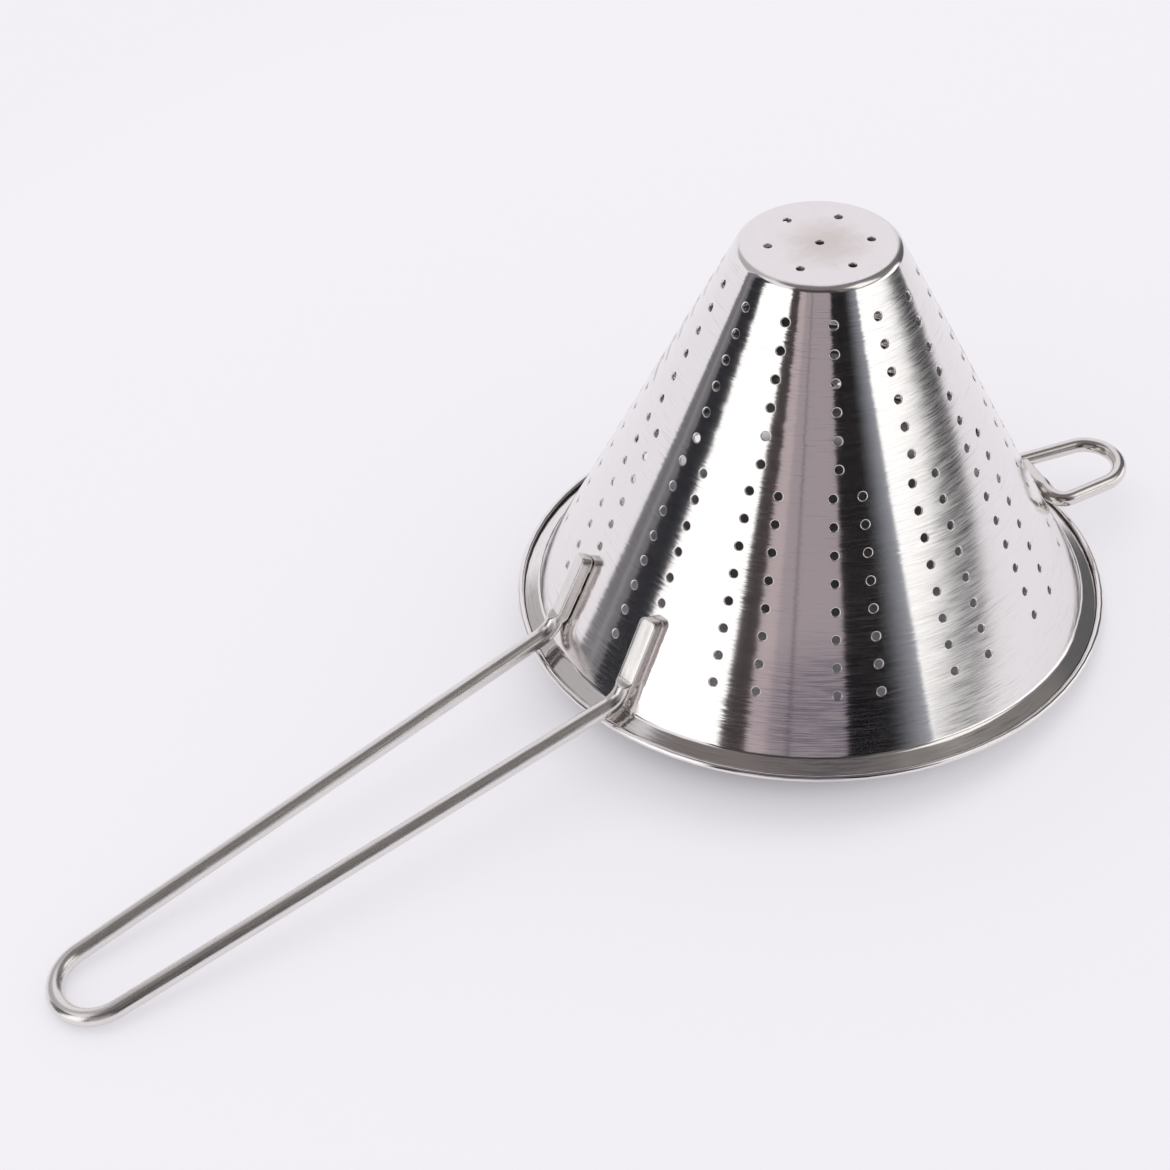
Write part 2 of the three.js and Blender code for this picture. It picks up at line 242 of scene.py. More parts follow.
def make_piece(name: str, patch: Patch, stance: Stance, material: bpy.types.Material, node: Node) -> bpy.types.Object:
    """Welds a patch into a closed mesh, dresses it and ties it to the part.

    Points that agree to a ten-thousandth of a millimetre become one vertex, whose normal is the mean of
    theirs. Flat coordinates stay with each face's corners, so they may jump at a seam.

    Args:
        name: name of the new object.
        patch: its surface in the cone's frame.
        stance: how that frame stands on the table.
        material: its material.
        node: the solid that it stands for.

    Returns:
        The new object, at the origin.
    """
    rounded = np.round(patch.points, WELD_DECIMALS)
    _, first, which = np.unique(rounded, axis=0, return_index=True, return_inverse=True)
    which = which.reshape(-1)
    corners = which[patch.faces]
    keep = np.ones(corners.shape, bool)
    keep[:, 3] = corners[:, 3] != corners[:, 2]
    totals = keep.sum(axis=1)
    mesh = bpy.data.meshes.new(name)
    mesh.vertices.add(len(first))
    mesh.vertices.foreach_set("co", stance.place(patch.points[first]).astype(np.float32).ravel())
    mesh.loops.add(int(totals.sum()))
    mesh.loops.foreach_set("vertex_index", corners[keep].astype(np.int32))
    mesh.polygons.add(len(totals))
    mesh.polygons.foreach_set("loop_start", (np.cumsum(totals) - totals).astype(np.int32))
    mesh.update(calc_edges=True)
    layer = mesh.uv_layers.new(name="lay")
    layer.data.foreach_set("uv", patch.flat[patch.faces[keep]].astype(np.float32).ravel())
    mesh.shade_smooth()
    if len(patch.normals):
        total = np.zeros((len(first), 3))
        np.add.at(total, which, patch.normals)
        mesh.normals_split_custom_set_from_vertices(stance.direct(unit(total)).astype(np.float32))
    mesh.validate()
    mesh.materials.append(material)
    piece = link_object(name, mesh)
    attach(piece, "root")
    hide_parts(node.value)
    LOG.info("%s: %d vertices, %d faces", name, len(mesh.vertices), len(mesh.polygons))
    return piece


@dataclass
class PerforatedCone:
    """The drawn sheet: cone, flat end, flange and rolled edge, with columns of holes that split into pairs.

    Its sizes are in millimetres and its angles in degrees. Directions and corners of its section are given as
    radius and height. Steps are numbers of faces along a line of the section; those of the curl are its inner
    and outer side's. Flat coordinates hold a share of the depth, so that a hole's rings lie apart in them.

    A cell with a hole has five rings: its border outside, the top and the foot of the hole's rounded edge,
    the hole's edge inside and the border inside. The rings' lift and inward turn are how much their normals
    follow the outward normal and the way to the hole's axis.
    """

    sheet: float = 0.6
    rim_radius: float = 89.96
    roll_radius: float = 1.05
    roll_sweep: float = 290.0
    flange_width: float = 6.2
    flange_slope: float = 26.0
    foot_fillet: float = 2.5
    height: float = 124.63
    end_radius: float = 23.3
    end_fillet: float = 3.0
    hole_radius: float = 1.25
    hole_edge: float = 0.34
    end_hole_edge: float = 0.14
    columns: int = 13
    rows: int = 14
    single_rows: int = 6
    first_row: float = 9.6
    last_row: float = 19.9
    pair_azimuth: float = -115.2
    single_turn: float = -2.6
    pair_half_angle: float = 4.9
    end_holes: int = 6
    end_hole_ring: float = 14.8
    end_hole_azimuth: float = 32.5
    end_cells: Pair = (8.6, 18.6)
    cell_steps: tuple[int, int] = (3, 4)
    end_cell_steps: int = 4
    edge_drop: float = 0.8
    inner_flare: float = 0.06
    ring_lift: tuple[float, ...] = (1.0, 1.0, 0.45, -0.5, -1.0)
    ring_inward: tuple[float, ...] = (0.0, 0.005, 0.9, 0.85, 0.0)
    wall_steps: int = 4
    fillet_steps: int = 10
    flange_steps: int = 3
    curl_steps: tuple[int, int] = (14, 20)
    lip_steps: int = 6
    corner_steps: int = 8
    end_wall_steps: int = 2
    flat_depth: float = 0.1
    flat_end: float = 1.2
    flange_down: Array = field(init=False)
    flange_up: Array = field(init=False)
    roll_middle: Array = field(init=False)
    roll_start: Array = field(init=False)
    foot: Array = field(init=False)
    end_corner: Array = field(init=False)
    up: Array = field(init=False)
    out: Array = field(init=False)
    around: int = field(init=False)
    azimuths: Array = field(init=False)

    def __post_init__(self) -> None:
        """Works out the section's corners and directions, and the azimuths of the faces' sides."""
        slope = math.radians(self.flange_slope)
        self.flange_down = np.array([math.cos(slope), -math.sin(slope)])
        self.flange_up = np.array([math.sin(slope), math.cos(slope)])
        self.roll_middle = np.array([self.rim_radius - self.roll_radius, self.roll_radius])
        self.roll_start = self.roll_middle + (self.sheet - self.roll_radius) * self.flange_up
        self.foot = self.roll_start - self.flange_width * self.flange_down
        self.end_corner = np.array([self.end_radius, self.height])
        self.up = unit(self.end_corner - self.foot)
        self.out = np.array([self.up[1], -self.up[0]])
        self.around = 2 * self.columns * self.cell_steps[0]
        self.azimuths = math.radians(self.pair_azimuth) + 2 * math.pi * (
            np.arange(self.around + 1) - self.cell_steps[0]
        ) / self.around

    def radius_at(self, height: Array | float) -> Array | float:
        """Gives the outside radius of the cone at a height."""
        return self.foot[0] + (height - self.foot[1]) * self.up[0] / self.up[1]

    def row_pitch(self) -> float:
        """Gives the height from one row of holes to the next."""
        return (self.height - self.first_row - self.last_row) / (self.rows - 1)

    def row_heights(self) -> Array:
        """Gives the height of each row of holes, from the flat end down."""
        return np.linspace(self.height - self.first_row, self.last_row, self.rows)

    def wall(self, azimuth: Array, height: Array, depth: Array) -> tuple[Array, Array]:
        """Gives points of the cone's wall and the wall's outward normal there.

        The point is on the cone at that azimuth and height, moved against the normal by the depth.

        Args:
            azimuth: angles about the axis, in radians.
            height: heights on the outside of the wall.
            depth: how far under the outside the point lies.

        Returns:
            Points and normals.
        """
        cosine, sine = np.cos(azimuth), np.sin(azimuth)
        normal = np.stack([self.out[0] * cosine, self.out[0] * sine, np.full_like(azimuth, self.out[1])], -1)
        radius = self.radius_at(height)
        outside = np.stack([radius * cosine, radius * sine, height], -1)
        return outside - depth[..., None] * normal, normal

    @staticmethod
    def cell_border(steps: tuple[int, int]) -> tuple[Array, Array, Array]:
        """Gives the border of a cell as shares of its width and height, and the matching angles of a hole.

        The border starts at the lower right corner and runs against the clock; the angles are evenly
        spaced and start so that the middle of the right side has angle 0.

        Args:
            steps: faces along the width and along the height.

        Returns:
            Shares across, shares up, and angles in radians.
        """
        wide, tall = steps
        rising = np.arange(tall) / tall
        running = np.arange(wide) / wide
        across = np.concatenate([np.ones(tall), 1 - running, np.zeros(tall), running])
        upward = np.concatenate([rising, np.ones(wide), 1 - rising, np.zeros(wide)])
        count = 2 * (wide + tall)
        angles = 2 * math.pi * (np.arange(count) - tall / 2) / count
        return across, upward, angles

    def cell_rings(self, edge: float) -> tuple[Array, Array, Array, Array]:
        """Gives the rings of a cell, from its border outside, through its hole, to its border inside.

        The hole's outer edge is worn round: its normal turns from the sheet's to the hole's.

        Args:
            edge: width of the rounded edge.

        Returns:
            For each ring its distance from the hole's wall, its depth, and how much its normal follows the
            outward normal and the way to the hole's axis. The borders' distances aren't used.
        """
        reach = np.array([0.0, edge, 0.0, self.inner_flare, 0.0])
        edge_foot = min(self.edge_drop * edge, self.sheet / 2)
        depth = np.array([0.0, 0.0, edge_foot, self.sheet, self.sheet])
        return reach, depth, np.array(self.ring_lift), np.array(self.ring_inward)

    def wall_cells(self, middles: Array, lefts: Array, rights: Array, rows: Array,
                   steps: tuple[int, int]) -> Patch:
        """Makes all cells of the wall that hold one hole each.

        A cell is a grid of rings: from its border on the outside, in a straight blend of azimuth and height
        to a circle round the hole, over the hole's rounded edge and through the sheet, to its border inside.

        Args:
            middles: azimuth of each hole, in radians.
            lefts: azimuth of each cell's first side.
            rights: azimuth of each cell's last side.
            rows: height of each hole.
            steps: faces along a cell's width and height.

        Returns:
            The patch of all cells.
        """
        across, upward, angles = self.cell_border(steps)
        reach, depth, lift, inward = self.cell_rings(self.hole_edge)
        border_azimuth = lefts[:, None] + (rights - lefts)[:, None] * across
        border_height = rows[:, None] + self.row_pitch() * (upward - 0.5)
        beside = (self.hole_radius + reach)[:, None] * np.cos(angles)
        above = (self.hole_radius + reach)[:, None] * np.sin(angles) * self.up[1]
        azimuth = middles[:, None, None] + beside / self.radius_at(rows)[:, None, None]
        height = rows[:, None, None] + above
        azimuth[:, [0, -1]] = border_azimuth[:, None]
        height[:, [0, -1]] = border_height[:, None]
        depths = depth[None, :, None] + 0 * azimuth
        points, normal = self.wall(azimuth, height, depths)
        along = np.stack([-np.sin(azimuth), np.cos(azimuth), 0 * azimuth], -1)
        rise = np.cross(normal, along)
        to_axis = -(np.cos(angles)[:, None] * along + np.sin(angles)[:, None] * rise)
        normals = unit(lift[:, None, None] * normal + inward[:, None, None] * to_axis)
        flat = np.stack([azimuth / (2 * math.pi), (height + self.flat_depth * depths) / self.height], -1)
        return self.ring_patch(points, normals, flat)

    @staticmethod
    def ring_patch(points: Array, normals: Array, flat: Array) -> Patch:
        """Joins grids of closed rings, cells by rings by places round the hole, into one patch.

        Args:
            points: cells by rings by places by 3.
            normals: the same shape.
            flat: cells by rings by places by 2.

        Returns:
            The patch; its faces look along the way round crossed with the way to the next ring.
        """
        cells, rings, places = points.shape[:3]
        index = np.arange(cells * rings * places).reshape(cells, rings, places)
        beside = np.roll(index, -1, axis=2)
        faces = np.stack([index[:, :-1], beside[:, :-1], beside[:, 1:], index[:, 1:]], -1)
        return Patch(points.reshape(-1, 3), normals.reshape(-1, 3), flat.reshape(-1, 2), faces.reshape(-1, 4))

    def wall_patch(self) -> Patch:
        """Makes the perforated band: rows of wide cells with one hole each, then rows of halved cells.

        Returns:
            The patch of the band, both sides of the sheet.
        """
        sector = 2 * math.pi / self.columns
        middles = math.radians(self.pair_azimuth) + sector * np.arange(self.columns)
        heights = self.row_heights()
        single, paired = heights[: self.single_rows], heights[self.single_rows :]
        singles = np.tile(middles, len(single))
        wide = self.wall_cells(
            singles + math.radians(self.single_turn),
            singles - sector / 2,
            singles + sector / 2,
            np.repeat(single, self.columns),
            (2 * self.cell_steps[0], self.cell_steps[1]),
        )
        pairs = np.tile(middles, len(paired))
        halved = [
            self.wall_cells(
                pairs + side * math.radians(self.pair_half_angle),
                pairs + (side - 1) * sector / 4,
                pairs + (side + 1) * sector / 4,
                np.repeat(paired, self.columns),
                self.cell_steps,
            )
            for side in (-1, 1)
        ]
        return Patch.join([wide, *halved])

    @staticmethod
    def arc(middle: Array, radius: float, start: float, end: float, steps: int,
            facing: Facing) -> tuple[Array, Array]:
        """Gives points of an arc in the section's plane and their normals.

        Args:
            middle: centre of the arc.
            radius: its radius.
            start: first angle, in radians.
            end: last angle.
            steps: how many steps it has.
            facing: which way the surface looks.

        Returns:
            Points and normals, each steps + 1 by 2.
        """
        ray = rays(np.linspace(start, end, steps + 1))
        return middle + radius * ray, facing.value * ray

    @staticmethod
    def line(start: Array, end: Array, steps: int, normal: Array) -> tuple[Array, Array]:
        """Gives points of a straight line in the section's plane and their common normal."""
        share = np.linspace(0.0, 1.0, steps + 1)[:, None]
        return start + share * (end - start), np.repeat(normal[None], steps + 1, axis=0)

    def revolve(self, sections: list[tuple[Array, Array]], start_flat: float) -> Patch:
        """Turns a chain of section lines round the axis.

        Each line is a grid of its own, so a corner between two lines stays sharp only where their normals
        differ. The flat coordinates are the azimuth in turns and the way along the section.

        Args:
            sections: points and normals of each line, as radius and height.
            start_flat: where the way along the section starts.

        Returns:
            The patch of all lines.
        """
        patches = []
        cosine, sine = np.cos(self.azimuths), np.sin(self.azimuths)
        for points, normals in sections:
            way = start_flat + way_along(points) / self.height
            spun = [
                np.stack([line[:, :1] * cosine, line[:, :1] * sine, line[:, 1:] + 0 * cosine], -1)
                for line in (points, normals)
            ]
            flat = np.stack(np.broadcast_arrays(self.azimuths[None] / (2 * math.pi), way[:, None]), -1)
            patches.append(Patch.from_grid(spun[0], spun[1], flat))
        return Patch.join(patches)

    def rim_patch(self) -> Patch:
        """Makes the sheet below the holes: wall, hollow fillet, flange, open curl and back up the inside.

        Returns:
            The patch of the rim, turned round the axis.
        """
        half = math.acos(float(np.dot(self.up, self.flange_down))) / 2
        middle = self.foot + self.foot_fillet / math.sin(half) * unit(self.up + self.flange_down)
        reach = self.foot_fillet / math.tan(half)
        wall_angle = math.atan2(-self.out[1], -self.out[0])
        flange_angle = math.atan2(-self.flange_up[1], -self.flange_up[0])
        wall_angle -= 2 * math.pi * (wall_angle > flange_angle)
        curl_end = flange_angle + math.radians(self.roll_sweep)
        low = self.last_row - self.row_pitch() / 2
        start = np.array([self.radius_at(low), low])
        wall_foot = self.foot + reach * self.up
        flange_top = self.foot + reach * self.flange_down
        curl_foot = self.roll_middle - self.roll_radius * self.flange_up
        lip = self.roll_middle + (self.roll_radius - self.sheet / 2) * rays(curl_end)
        hollow, round_over = self.foot_fillet, self.foot_fillet + self.sheet
        curl_inside = self.roll_radius - self.sheet
        through, under = self.sheet * self.out, self.sheet * self.flange_up
        inner, outer = self.curl_steps
        return self.revolve(
            [
                self.line(start, wall_foot, self.wall_steps, self.out),
                self.arc(middle, hollow, wall_angle, flange_angle, self.fillet_steps, Facing.TOWARDS),
                self.line(flange_top, self.roll_start, self.flange_steps, self.flange_up),
                self.arc(self.roll_middle, curl_inside, flange_angle, curl_end, inner, Facing.TOWARDS),
                self.arc(lip, self.sheet / 2, curl_end + math.pi, curl_end, self.lip_steps, Facing.AWAY),
                self.arc(self.roll_middle, self.roll_radius, curl_end, flange_angle, outer, Facing.AWAY),
                self.line(curl_foot, flange_top - under, self.flange_steps, -self.flange_up),
                self.arc(middle, round_over, flange_angle, wall_angle, self.fillet_steps, Facing.AWAY),
                self.line(wall_foot - through, start - through, self.wall_steps, -self.out),
            ],
            start_flat=0.0,
        )

    def end_patch(self) -> Patch:
        """Makes the sheet above the holes: plain wall, rounded corner and flat end with its holes.

        Returns:
            The patch of the end, both sides of the sheet.
        """
        flat_up, inward = np.array([0.0, 1.0]), np.array([-1.0, 0.0])
        half = math.acos(float(np.dot(-self.up, inward))) / 2
        middle = self.end_corner + self.end_fillet / math.sin(half) * unit(inward - self.up)
        reach = self.end_fillet / math.tan(half)
        wall_angle, end_angle = math.atan2(self.out[1], self.out[0]), math.pi / 2
        high = self.height - self.first_row + self.row_pitch() / 2
        stop = np.array([self.radius_at(high), high])
        ring = np.array([self.end_cells[1], self.height])
        flat_edge, wall_top = self.end_corner + reach * inward, self.end_corner - reach * self.up
        drop, through = self.sheet * flat_up, self.sheet * self.out
        hollow = self.end_fillet - self.sheet
        shell = self.revolve(
            [
                self.line(ring, flat_edge, 1, flat_up),
                self.arc(middle, self.end_fillet, end_angle, wall_angle, self.corner_steps, Facing.AWAY),
                self.line(wall_top, stop, self.end_wall_steps, self.out),
                self.line(stop - through, wall_top - through, self.end_wall_steps, -self.out),
                self.arc(middle, hollow, wall_angle, end_angle, self.corner_steps, Facing.TOWARDS),
                self.line(flat_edge - drop, ring - drop, 1, -flat_up),
            ],
            start_flat=1.0,
        )
        return Patch.join([shell, self.end_hole_patch()])

    def end_hole_patch(self) -> Patch:
        """Makes the flat end's cells: parts of a ring with a hole each, and a round middle with one.

        The parts start at one of the wall's azimuths, so that their outer border meets the corner's faces.

        Returns:
            The patch of the cells, both sides of the sheet.
        """
        sector = 2 * math.pi / self.end_holes
        inner, outer = self.end_cells
        across, upward, angles = self.cell_border((self.around // self.end_holes, self.end_cell_steps))
        holes = math.radians(self.end_hole_azimuth) + sector * np.arange(self.end_holes)
        nearest = np.argmin(np.abs(self.azimuths - holes[0] + sector / 2))
        starts = self.azimuths[nearest] + sector * np.arange(self.end_holes)
        border = (outer - (outer - inner) * upward)[:, None] * rays(starts[:, None] + sector * across)
        axis = rays(holes)
        side = np.stack([-axis[:, 1], axis[:, 0]], -1)
        to_border = np.cos(angles)[:, None] * side[:, None] - np.sin(angles)[:, None] * axis[:, None]
        ring_cells = self.flat_cells(border, self.end_hole_ring * axis, to_border)
        round_way = rays(self.azimuths[:-1])[None]
        middle_cell = self.flat_cells(inner * round_way, np.zeros((1, 2)), round_way)
        return Patch.join([ring_cells, middle_cell])

    def flat_cells(self, border: Array, middles: Array, ways: Array) -> Patch:
        """Makes cells of the flat end: rings from a border to a hole and through the sheet.

        Args:
            border: cells by places by 2, the border in the plane of the end.
            middles: cells by 2, the middle of each hole.
            ways: cells by places by 2, the direction from the hole's middle to each place.

        Returns:
            The patch of the cells.
        """
        reach, depth, lift, inward = self.cell_rings(self.end_hole_edge)
        plan = middles[:, None, None] + (self.hole_radius + reach)[None, :, None, None] * ways[:, None]
        plan[:, [0, -1]] = border[:, None]
        column = plan.shape[:3] + (1,)
        level = np.broadcast_to((self.height - depth)[None, :, None, None], column)
        points = np.concatenate([plan, level], -1)
        sideways = -inward[None, :, None, None] * ways[:, None]
        upright = np.broadcast_to(lift[None, :, None, None], column)
        normals = unit(np.concatenate([sideways, upright], -1))
        turns = np.arctan2(plan[..., 1], plan[..., 0]) / (2 * math.pi)
        inward_way = np.linalg.norm(plan, axis=-1) + self.flat_depth * depth[None, :, None]
        flat = np.stack([turns, self.flat_end - inward_way / self.height], -1)
        return self.ring_patch(points, normals, flat)

    def build(self, stance: Stance, material: bpy.types.Material) -> bpy.types.Object:
        """Builds the whole sheet as one closed piece."""
        patch = Patch.join([self.wall_patch(), self.rim_patch(), self.end_patch()])
        return make_piece("perforated_cone", patch, stance, material, Node.CONE)


@dataclass
class WireSection:
    """The section of a wire along its run, round or pressed flat.

    A place at angle a lies at half times cos a across and inner or outer times sin a outwards, each with the
    power 2 over squareness, so that squareness 2 is an ellipse and more has flatter sides.
    """

    round_squareness: ClassVar[float] = 2.0
    pressed_squareness: ClassVar[float] = 6.5
    half: Array
    inner: Array
    outer: Array
    squareness: Array

    @staticmethod
    def pressed(radius: float, width: float, thickness: float, share: Array) -> "WireSection":
        """Blends a round wire into one that is pressed from its outer side.

        Args:
            radius: of the round wire.
            width: of the pressed wire.
            thickness: of the pressed wire.
            share: how far each station is pressed, from 0 to 1.

        Returns:
            The sections of all stations.
        """
        plain, pressed = WireSection.round_squareness, WireSection.pressed_squareness
        return WireSection(
            radius + share * (width / 2 - radius),
            np.full_like(share, radius),
            radius + share * (thickness - 2 * radius),
            plain + share * (pressed - plain),
        )

    def trimmed(self, sideways: Array, upright: Array) -> "WireSection":
        """Takes some off both ends of the width and off both faces, as at a rounded cut."""
        return WireSection(self.half - sideways, self.inner - upright, self.outer - upright, self.squareness)

    def rings(self, points: Array, runs: Array, outward: Array, sides: int) -> Array:
        """Carries the section along a path.

        Args:
            points: stations of the path.
            runs: its directions.
            outward: the way to the section's outer side at each station.
            sides: places round the wire.

        Returns:
            Stations by sides by 3.
        """
        across = unit(np.cross(outward, runs))
        upright = unit(np.cross(runs, across))
        angle = 2 * math.pi * np.arange(sides) / sides
        power = (2.0 / self.squareness)[:, None]
        cosine, sine = np.cos(angle), np.sin(angle)
        wide = np.sign(cosine) * np.abs(cosine) ** power * self.half[:, None]
        reach = np.where(sine > 0, self.outer[:, None], self.inner[:, None])
        tall = np.sign(sine) * np.abs(sine) ** power * reach
        return points[:, None] + wide[..., None] * across[:, None] + tall[..., None] * upright[:, None]


def tube_patch(rings: Array) -> Patch:
    """Skins rings of points to a closed tube, with a fan on each end.

    The flat coordinates are the way along the tube over its length and the share of the way round.

    Args:
        rings: stations by sides by 3.

    Returns:
        The closed patch, without normals of its own.
    """
    stations, sides = rings.shape[:2]
    middles = rings.mean(axis=1)
    way = way_along(middles)
    looped = np.concatenate([rings, rings[:, :1]], axis=1)
    turns = np.linspace(0.0, 1.0, sides + 1)
    flat = np.stack(np.broadcast_arrays(way[:, None] / way[-1], turns[None]), -1)
    no_normals = np.zeros((0, 3))
    skin = Patch.from_grid(looped, no_normals, flat)
    skin.faces = skin.faces[:, ::-1]
    place = np.arange(sides)
    beside = np.roll(place, -1)
    middle = np.full(sides, sides)
    caps = []
    for station, edge in ((0, (beside, place)), (stations - 1, (place, beside))):
        points = np.concatenate([rings[station], middles[station][None]])
        level = np.full((sides + 1, 2), way[station] / way[-1])
        caps.append(Patch(points, no_normals, level, np.stack([*edge, middle, middle], -1)))
    return Patch.join([skin, *caps])


def path_runs(points: Array) -> Array:
    """Gives the direction of a path at each of its points, from the differences along its length."""
    return unit(np.gradient(points, way_along(points), axis=0))


def rounded_cut(distance: Array, length: float, depth: float) -> Array:
    """Gives how much a rounded end takes off at each distance from it, as a quarter of an ellipse."""
    near = np.clip(1 - distance / length, 0.0, 1.0)
    return depth * (1 - np.sqrt(1 - near**2))


def touching_angle(start: Pair, radius: float) -> float:
    """Gives the angle at which a straight leg from a point touches a circle about the origin."""
    return math.atan2(start[1], start[0]) - math.acos(radius / math.hypot(*start))


def bend_reach(radius: float, first: Array, second: Array) -> float:
    """Gives how far from a corner its bend starts: the radius times the tangent of half the turn."""
    return radius * math.tan((math.pi - math.acos(float(np.dot(first, second)))) / 2)


def bend_curve(start: Array, corner: Array, end: Array, steps: int) -> Array:
    """Rounds a corner: the mean of start, corner and end with weights (1-k)^2, 2k(1-k) and k^2."""
    share = np.linspace(0.0, 1.0, steps + 1)[:, None]
    return (1 - share) ** 2 * start + 2 * share * (1 - share) * corner + share**2 * end


def straight(start: Array, end: Array, shares: Array) -> Array:
    """Gives the points of a straight line at shares of its length."""
    return start + shares[:, None] * (end - start)


@dataclass
class HandleWire:
    """The hairpin of round wire, both ends pressed flat on the cone.

    Sizes are in millimetres and angles in degrees. The tab's stations are those of its rounded end, its plain
    stretch and its shoulder.
    """

    cone: PerforatedCone
    wire_radius: float = 2.7
    reach: float = 258.0
    slope: float = 13.25
    tip_radius: float = 13.0
    tab_half_angle: float = 13.0
    tab_top_half_angle: float = 14.4
    tab_length: float = 27.0
    tab_width: float = 5.8
    tab_thickness: float = 3.7
    tab_shoulder: float = 3.0
    tab_rounding: float = 1.9
    tab_face_turn: float = 2.4
    bend: float = 9.0
    rim_clearance: float = 1.31
    seat: float = 0.12
    cut_length: float = 0.5
    cut_depth: float = 0.45
    sides: int = 48
    tab_stations: tuple[int, int, int] = (9, 12, 11)
    bend_steps: int = 24
    leg_stations: int = 40
    tip_stations: int = 41

    def rim_place(self) -> Pair:
        """Works out where the legs' plane passes over the rolled rim.

        Returns:
            The way out from the axis and the height.
        """
        out = self.cone.roll_middle[0] * math.cos(math.radians(self.tab_half_angle))
        clear = 2 * self.cone.roll_radius + self.rim_clearance
        return out, clear + self.wire_radius / math.cos(math.radians(self.slope))

    def tip_middle(self) -> Pair:
        """Gives the middle of the wire at the tip, as distance along the handle's side and height."""
        out, height = self.rim_place()
        return -self.reach, height - (self.reach - out) * math.tan(math.radians(self.slope))

    def tab_line(self) -> tuple[Array, Array]:
        """Works out the middle of the wire along its tab, which lies on the cone on the +X side.

        Its corner is where that line meets the legs' plane: the height h there is the rim's, less the tangent
        of the slope times the way past the rim, and that way shrinks with h by the cone's taper.

        Returns:
            The corner and the cut end.
        """
        cone = self.cone
        turn, top_turn = math.radians(self.tab_half_angle), math.radians(self.tab_top_half_angle)
        fall, taper = math.tan(math.radians(self.slope)), -cone.up[0] / cone.up[1]
        rim_out, rim_height = self.rim_place()
        axis_radius = cone.radius_at(0.0) + (self.seat + self.wire_radius) / cone.out[0]
        corner_height = (rim_height - (axis_radius * math.cos(turn) - rim_out) * fall) / (
            1 - taper * math.cos(turn) * fall
        )

        def on_cone(angle: float, height: float) -> Array:
            """Gives the wire's middle where it lies on the cone."""
            radius = axis_radius - height * taper
            return np.array([radius * math.cos(angle), radius * math.sin(angle), height])

        top_height = corner_height + self.tab_length * cone.up[1]
        return on_cone(turn, corner_height), on_cone(top_turn, top_height)

    def half_path(self) -> tuple[Array, Array, Array, Array]:
        """Works out half of the wire's path, along +X, from a pressed end to the tip.

        The path is a straight tab along the cone, a bend into the legs' plane, a straight leg that touches
        the tip's arc, and a quarter of that arc.

        Returns:
            Points, outward ways, how far each station is pressed, and its distance from the cut end.
        """
        slope, out = math.radians(self.slope), self.cone.out
        along = np.array([math.cos(slope), 0.0, -math.sin(slope)])
        plane_up = np.array([math.sin(slope), 0.0, math.cos(slope)])
        mean_turn = math.radians((self.tab_half_angle + self.tab_top_half_angle) / 2 + self.tab_face_turn)
        normal = np.array([out[0] * math.cos(mean_turn), out[0] * math.sin(mean_turn), out[1]])
        corner, top = self.tab_line()
        rim_out, rim_height = self.rim_place()
        tip_out = self.reach - self.tip_radius * math.cos(slope)
        tip_middle = np.array([tip_out, 0.0, rim_height - (tip_out - rim_out) * math.tan(slope)])
        touch = touching_angle((float(np.dot(corner - tip_middle, along)), corner[1]), self.tip_radius)
        angles = np.linspace(touch, 0.0, self.tip_stations)[:, None]
        sideways = np.array([0.0, 1.0, 0.0])
        tip = tip_middle + self.tip_radius * (np.cos(angles) * along + np.sin(angles) * sideways)
        to_tab, to_leg = unit(top - corner), unit(tip[0] - corner)
        length = bend_reach(self.bend, to_tab, to_leg)
        start, end = corner + length * to_tab, corner + length * to_leg
        tab_length = float(np.linalg.norm(start - top))
        for_end, for_plain, for_shoulder = self.tab_stations
        rounded = self.tab_rounding * (1 - np.cos(np.linspace(0.0, math.pi / 2, for_end)))
        plain = np.linspace(self.tab_rounding, tab_length - self.tab_shoulder, for_plain)[1:-1]
        shoulder = np.linspace(tab_length - self.tab_shoulder, tab_length, for_shoulder)
        tab = straight(top, start, np.concatenate([rounded, plain, shoulder]) / tab_length)
        turned = bend_curve(start, corner, end, self.bend_steps)[1:]
        leg = straight(end, tip[0], np.linspace(0.0, 1.0, self.leg_stations)[1:-1])
        points = np.concatenate([tab, turned, leg, tip])
        ease = smooth_step(np.linspace(0.0, 1.0, self.bend_steps + 1)[1:])[:, None]
        outward = np.concatenate(
            [
                np.repeat(normal[None], len(tab), axis=0),
                (1 - ease) * normal + ease * plane_up,
                np.repeat(plane_up[None], len(leg) + len(tip), axis=0),
            ]
        )
        distance = way_along(points)
        pressed = 1 - smooth_step((distance - tab_length + self.tab_shoulder) / self.tab_shoulder)
        return points, outward, pressed, distance

    def rings(self) -> Array:
        """Carries the section along the path, mirrors it about the handle's plane and turns it to -X.

        Returns:
            Stations by sides by 3.
        """
        points, outward, pressed, distance = self.half_path()
        section = WireSection.pressed(self.wire_radius, self.tab_width, self.tab_thickness, pressed)
        section = section.trimmed(
            rounded_cut(distance, self.tab_rounding, self.tab_rounding),
            rounded_cut(distance, self.cut_length, self.cut_depth),
        )
        half = section.rings(points, path_runs(points), outward, self.sides)
        mirrored = half[-2::-1] * np.array([1.0, -1.0, 1.0])
        return np.concatenate([half, mirrored]) @ turn_matrix("Z", HALF_TURN).T

    def build(self, stance: Stance, material: bpy.types.Material) -> bpy.types.Object:
        """Builds the handle as one closed piece."""
        patch = tube_patch(self.rings())
        return make_piece("handle_hairpin", patch, stance, material, Node.HANDLE)


